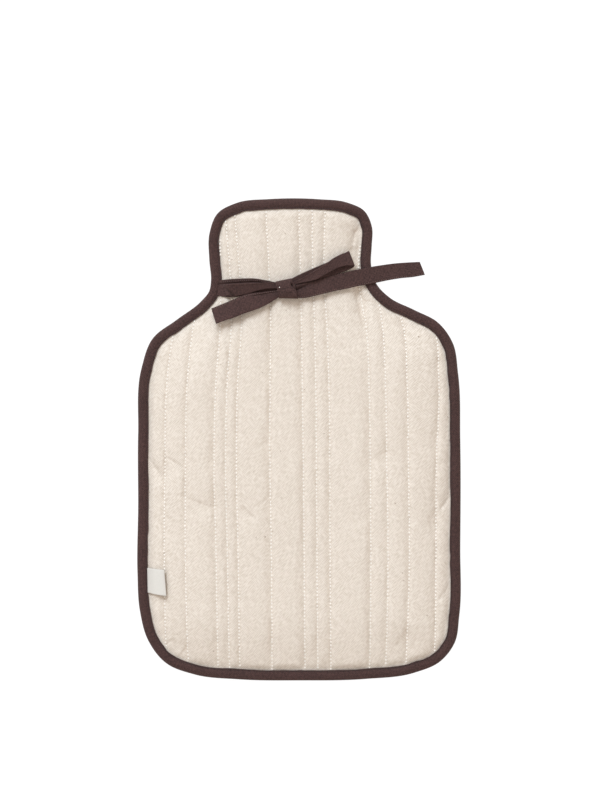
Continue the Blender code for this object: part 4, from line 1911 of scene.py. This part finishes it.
@dataclass
class Bow:
    """The tie: on each side a root, a loop and a free end, and the knot's band."""

    relief: CoverRelief
    wardrobe: Wardrobe
    stitch_pitch: float = 1.6
    stitching: Stitching = Stitching(1.0, 0.5, 0.34)

    def roots(self) -> list[Ribbon]:
        """The runs from the binding to the knot.

        Returns:
            The left one and the right one.
        """
        left = Ribbon(
            self.relief,
            "tie_left_root",
            "tie_root_left",
            rows_of(
                RibbonRow,
                (-61.0, 119.7, -1.2, -61.8, 108.8, -1.2),
                (-55.4, 120.3, 1.6, -56.1, 107.5, 0.6),
                (-48.6, 120.7, 2.2, -49.4, 107.2, 0.6),
                (-41.1, 120.9, 2.4, -42.6, 107.9, 0.6),
                (-33.6, 120.8, 2.4, -35.1, 109.4, 0.7),
                (-25.4, 119.5, 2.4, -26.9, 110.3, 0.8),
                (-16.0, 117.5, 2.4, -16.4, 110.6, 1.2),
            ),
            pleats=(Pleat(0.27, 0.0, 0.05, -1.5, 0.8, 1.0),),
            seam_across=0.38,
            seed=5,
        )
        right = Ribbon(
            self.relief,
            "tie_right_root",
            "tie_root_right",
            rows_of(
                RibbonRow,
                (-2.9, 117.4, 1.2, -2.2, 109.0, 1.0),
                (5.3, 118.8, 0.8, 6.8, 108.3, 0.7),
                (15.7, 120.5, 0.6, 18.0, 110.5, 0.6),
                (27.0, 123.2, 0.6, 30.0, 113.1, 0.6),
                (38.2, 125.6, 0.6, 41.2, 115.1, 0.6),
                (47.6, 127.5, -1.0, 49.5, 116.7, -1.0),
            ),
            seed=7,
        )
        return [left, right]

    def free_ends(self) -> list[Ribbon]:
        """The runs from the knot to the free ends.

        Returns:
            The left one and the right one.
        """
        left = Ribbon(
            self.relief,
            "tie_left_end",
            "tie_end_left",
            rows_of(
                RibbonRow,
                (-16.0, 111.8, 2.8, -13.7, 107.3, 2.6),
                (-21.6, 111.2, 2.9, -19.3, 104.0, 3.2),
                (-27.6, 110.5, 3.1, -24.6, 100.8, 4.0),
                (-33.5, 109.9, 3.4, -29.8, 98.3, 4.8),
                (-39.5, 108.8, 3.8, -35.8, 96.2, 5.4),
                (-45.2, 106.7, 4.0, -41.8, 94.1, 5.8),
                (-51.2, 104.2, 4.1, -47.8, 91.8, 6.0),
                (-58.3, 101.3, 4.2, -54.6, 89.6, 6.2),
                (-65.5, 98.6, 4.4, -61.7, 86.9, 6.4),
            ),
            pleats=(
                Pleat(0.33, -0.05, 0.045, -1.6, 0.15, 0.5),
                Pleat(0.44, 0.0, 0.06, 0.5, 0.1, 0.45),
                Pleat(-0.1, 0.0, 0.16, 0.4, 0.0, 0.35),
            ),
            seam_across=0.42,
            seed=9,
        )
        right = Ribbon(
            self.relief,
            "tie_right_end",
            "tie_end_right",
            rows_of(
                RibbonRow,
                (-5.5, 115.2, 3.4, -2.2, 106.5, 2.8),
                (-1.4, 116.1, 3.5, 0.8, 106.1, 2.9),
                (3.8, 117.4, 3.2, 5.6, 106.4, 3.0),
                (9.0, 118.4, 2.9, 11.2, 107.6, 3.2),
                (15.7, 120.2, 2.6, 18.3, 109.4, 3.4),
                (23.2, 122.3, 2.5, 26.2, 111.3, 3.5),
                (31.5, 124.8, 2.5, 34.5, 113.0, 3.4),
                (39.0, 126.8, 2.2, 42.0, 114.8, 3.0),
                (46.5, 128.4, 1.9, 49.5, 116.4, 2.3),
                (54.0, 129.9, 1.6, 57.4, 117.9, 1.8),
                (63.0, 131.4, 1.5, 66.8, 119.9, 1.6),
                (72.8, 132.8, 1.5, 76.6, 121.6, 1.5),
                (81.9, 133.6, 1.4, 85.7, 122.6, 1.4),
                (90.8, 134.1, 1.3, 94.6, 124.3, 1.3),
            ),
            pleats=(
                Pleat(0.08, 2.2, 0.07, -2.6, 0.03, 0.14),
                Pleat(0.36, 0.8, 0.07, 1.0, 0.03, 0.2),
                Pleat(-0.2, 0.0, 0.14, 0.5, 0.0, 0.2),
            ),
            seam_across=-0.42,
            seed=13,
        )
        return [left, right]

    def loops(self) -> list[Ribbon]:
        """The two loops, each from the knot out over the top and back underneath.

        Returns:
            The left one and the right one.
        """
        left = Ribbon(
            self.relief,
            "tie_left_loop",
            "bow_loop_left",
            rows_of(
                RibbonRow,
                (-16.0, 116.7, 3.9, -16.0, 113.1, 3.9),
                (-21.5, 117.4, 5.0, -21.9, 113.2, 4.2),
                (-29.0, 117.3, 5.8, -29.8, 112.0, 3.6),
                (-36.5, 117.1, 6.3, -38.0, 109.5, 3.0),
                (-44.0, 116.9, 6.4, -44.7, 108.1, 2.6),
                (-49.4, 116.8, 6.4, -48.6, 107.8, 3.2),
                (-52.9, 116.7, 6.1, -50.8, 107.8, 3.6),
                (-54.9, 116.6, 5.5, -52.6, 108.2, 3.9),
                (-56.5, 116.2, 3.8, -53.7, 108.4, 2.8),
                (-54.4, 115.9, 1.8, -51.9, 107.9, 1.5),
                (-50.0, 116.1, 1.6, -49.2, 108.1, 1.5),
                (-44.0, 116.3, 1.6, -44.7, 108.9, 1.5),
                (-36.5, 116.4, 1.8, -37.6, 110.3, 1.7),
                (-29.0, 116.6, 2.2, -29.4, 112.5, 2.1),
                (-21.6, 116.5, 2.6, -21.9, 113.9, 2.6),
                (-16.0, 116.2, 2.6, -16.0, 113.8, 2.6),
            ),
            pleats=(
                Pleat(0.44, 0.0, 0.07, 0.4, 0.4, 0.46),
                Pleat(-4.9, 10.6, 0.24, -2.2, 0.49, 0.52),
            ),
            shown_share=0.7,
            seed=17,
            held=Hold.FOLDED,
        )
        right = Ribbon(
            self.relief,
            "tie_right_loop",
            "bow_loop_right",
            rows_of(
                RibbonRow,
                (-6.6, 116.3, 4.6, -6.3, 114.9, 4.8),
                (-1.8, 118.5, 5.2, -1.1, 116.7, 5.2),
                (3.8, 121.5, 5.7, 5.6, 118.0, 5.6),
                (9.7, 125.1, 6.1, 12.7, 119.7, 6.0),
                (15.7, 128.7, 6.3, 19.0, 123.2, 6.2),
                (20.9, 132.0, 6.3, 24.6, 126.2, 6.3),
                (25.4, 135.5, 6.1, 29.8, 128.9, 6.3),
                (30.6, 138.4, 5.7, 35.1, 130.2, 6.1),
                (35.1, 140.3, 4.9, 39.6, 130.4, 5.2),
                (37.1, 141.4, 3.7, 41.5, 130.2, 3.6),
                (35.1, 139.7, 2.6, 40.3, 129.1, 2.2),
                (30.6, 137.4, 2.2, 36.7, 127.3, 2.0),
                (25.4, 134.9, 2.2, 31.3, 125.2, 2.0),
                (20.5, 132.5, 2.4, 25.4, 123.1, 2.1),
                (14.2, 129.8, 2.8, 17.2, 120.7, 2.2),
                (7.5, 126.8, 3.2, 9.7, 118.6, 2.5),
                (0.8, 123.8, 3.6, 3.0, 117.4, 2.9),
                (-6.3, 120.2, 3.8, -5.2, 115.4, 3.4),
            ),
            pleats=(Pleat(0.42, 0.0, 0.08, 0.35, 0.3, 0.44),),
            shown_share=0.75,
            seed=19,
            held=Hold.FOLDED,
        )
        return [left, right]

    def build(self) -> None:
        """Lay the ribbons, sew their seams and wrap the knot."""
        threads = bmesh.new()
        for ribbon in self.roots() + self.free_ends() + self.loops():
            ribbon.build(self.wardrobe.ribbon, Slot.BROWN)
            if ribbon.seam_across is not None:
                self.stitching.sew(threads, *ribbon.seam_line(self.stitch_pitch))
        Piece("tie_thread", self.wardrobe.hem_thread, Slot.BROWN).finish(threads)
        BowKnot(self.relief).build(self.wardrobe.ribbon, self.wardrobe.cream_thread)


@dataclass
class Label:
    """The folded tape label sewn under the binding, left bare."""

    relief: CoverRelief
    wardrobe: Wardrobe

    def build(self) -> bpy.types.Object:
        """Fold the label.

        Returns:
            The finished piece.
        """
        tape = Ribbon(
            self.relief,
            "side_label",
            "label_tab",
            rows_of(
                RibbonRow,
                (-113.7, -95.6, -0.5, -113.3, -114.4, -0.5),
                (-107.5, -96.1, 2.4, -106.5, -115.2, 2.6),
                (-101.6, -96.5, 2.9, -100.2, -115.9, 3.2),
                (-100.5, -96.6, 2.3, -99.0, -116.1, 2.6),
                (-101.6, -96.5, 1.8, -100.2, -115.9, 2.1),
                (-107.5, -96.1, 1.3, -106.5, -115.2, 1.4),
                (-113.5, -95.8, -1.1, -113.1, -114.2, -1.1),
            ),
            cloth=0.45,
            flat_width=19.5,
            step=0.5,
            columns=34,
            edge_round=0.3,
            waver=0.08,
            seed=29,
            held=Hold.FOLDED,
        )
        return tape.build(self.wardrobe.label, Slot.LABEL)


# ---- The studio ----


@dataclass
class Studio:
    """A pale table, soft light and a camera straight above."""

    floor_size: float = 40.0
    floor_drop: float = 0.0004
    lens: float = 85.0
    frame_height: float = 0.6
    focus_height: float = 0.006
    aim: tuple[float, float] = (0.00075, 0.0302)
    floor_colour: Colour = (0.12, 0.12, 0.12, 1.0)
    floor_glow: float = 0.96
    key_place: tuple[float, float, float] = (-1.725, 3.9, 4.65)
    key_size: float = 2.64
    key_power: float = 252.0
    key_colour: tuple[float, float, float] = (0.885, 1.02, 1.15)
    world_strength: float = 0.70
    world_colour: Colour = (1.07, 0.985, 0.92, 1.0)

    def floor(self) -> None:
        """Lay the table."""
        builder = bmesh.new()
        bmesh.ops.create_grid(builder, x_segments=1, y_segments=1, size=0.5 * self.floor_size)
        bmesh.ops.translate(builder, vec=(0.0, 0.0, -self.floor_drop), verts=builder.verts)
        table = new_object("table", builder)
        tree = NodeTree("pale_table")
        tree.surface(
            {
                "Base Color": self.floor_colour,
                "Roughness": 0.9,
                "Specular IOR Level": 0.1,
                "Emission Color": (1.0, 1.0, 1.0, 1.0),
                "Emission Strength": self.floor_glow,
            }
        )
        table.data.materials.append(tree.material)

    def key_light(self) -> None:
        """Hang the soft light that looks at the cover."""
        data = bpy.data.lights.new("key", "AREA")
        data.shape = "SQUARE"
        data.size = self.key_size
        data.energy = self.key_power
        data.color = self.key_colour
        light = bpy.data.objects.new("key", data)
        light.location = self.key_place
        light.rotation_euler = (-light.location).to_track_quat("-Z", "Y").to_euler()
        bpy.context.scene.collection.objects.link(light)

    def sky(self) -> None:
        """Light the cover evenly from all round."""
        world = bpy.data.worlds.new("studio")
        bpy.context.scene.world = world
        world.use_nodes = True
        sky = world.node_tree.nodes["Background"]
        sky.inputs["Color"].default_value = self.world_colour
        sky.inputs["Strength"].default_value = self.world_strength

    def camera(self) -> None:
        """Look straight down at the photograph's scale."""
        data = bpy.data.cameras.new("camera")
        data.lens = self.lens
        camera = bpy.data.objects.new("camera", data)
        height = self.frame_height * self.lens / data.sensor_width + self.focus_height
        camera.location = (*self.aim, height)
        bpy.context.scene.collection.objects.link(camera)
        bpy.context.scene.camera = camera

    def build(self) -> None:
        """Set up everything round the cover."""
        self.floor()
        self.sky()
        self.key_light()
        self.camera()
        bpy.context.scene.view_settings.view_transform = "Standard"
        LOG.info("studio ready")


def main() -> None:
    """Dress the cover piece by piece."""
    logging.basicConfig(level=logging.INFO, format="%(relativeCreated)7.0f ms  %(message)s")
    Studio().build()
    wardrobe = Wardrobe()
    relief = CoverRelief(Outline(), QuiltPattern())

    FrontPanel(
        relief,
        wardrobe,
        name="quilted_front",
        node="front_panel",
        row_step=1.5,
        column_step=2.4,
        beside_stitches=(0.45, 1.1, 2.0, 3.2),
        sliver=0.3,
        stitching=Stitching(1.9, 1.4, 0.9),
        stitch_lift=0.42,
        rests_on="quilted_back",
    ).dress()
    BackPanel(
        relief,
        wardrobe,
        name="quilted_back",
        node="back_panel",
        row_step=6.0,
        column_step=4.0,
        beside_stitches=(0.9, 2.2),
        sliver=0.4,
        stitching=Stitching(1.9, 1.2, 0.7),
        stitch_lift=-0.1,
        rests_on="table",
    ).dress()

    binding = EdgeBinding(relief, wardrobe)
    strip = binding.build()
    binding.stitches()
    Bow(relief, wardrobe).build()
    Label(relief, wardrobe).build()


if __name__ == "__main__":
    main()
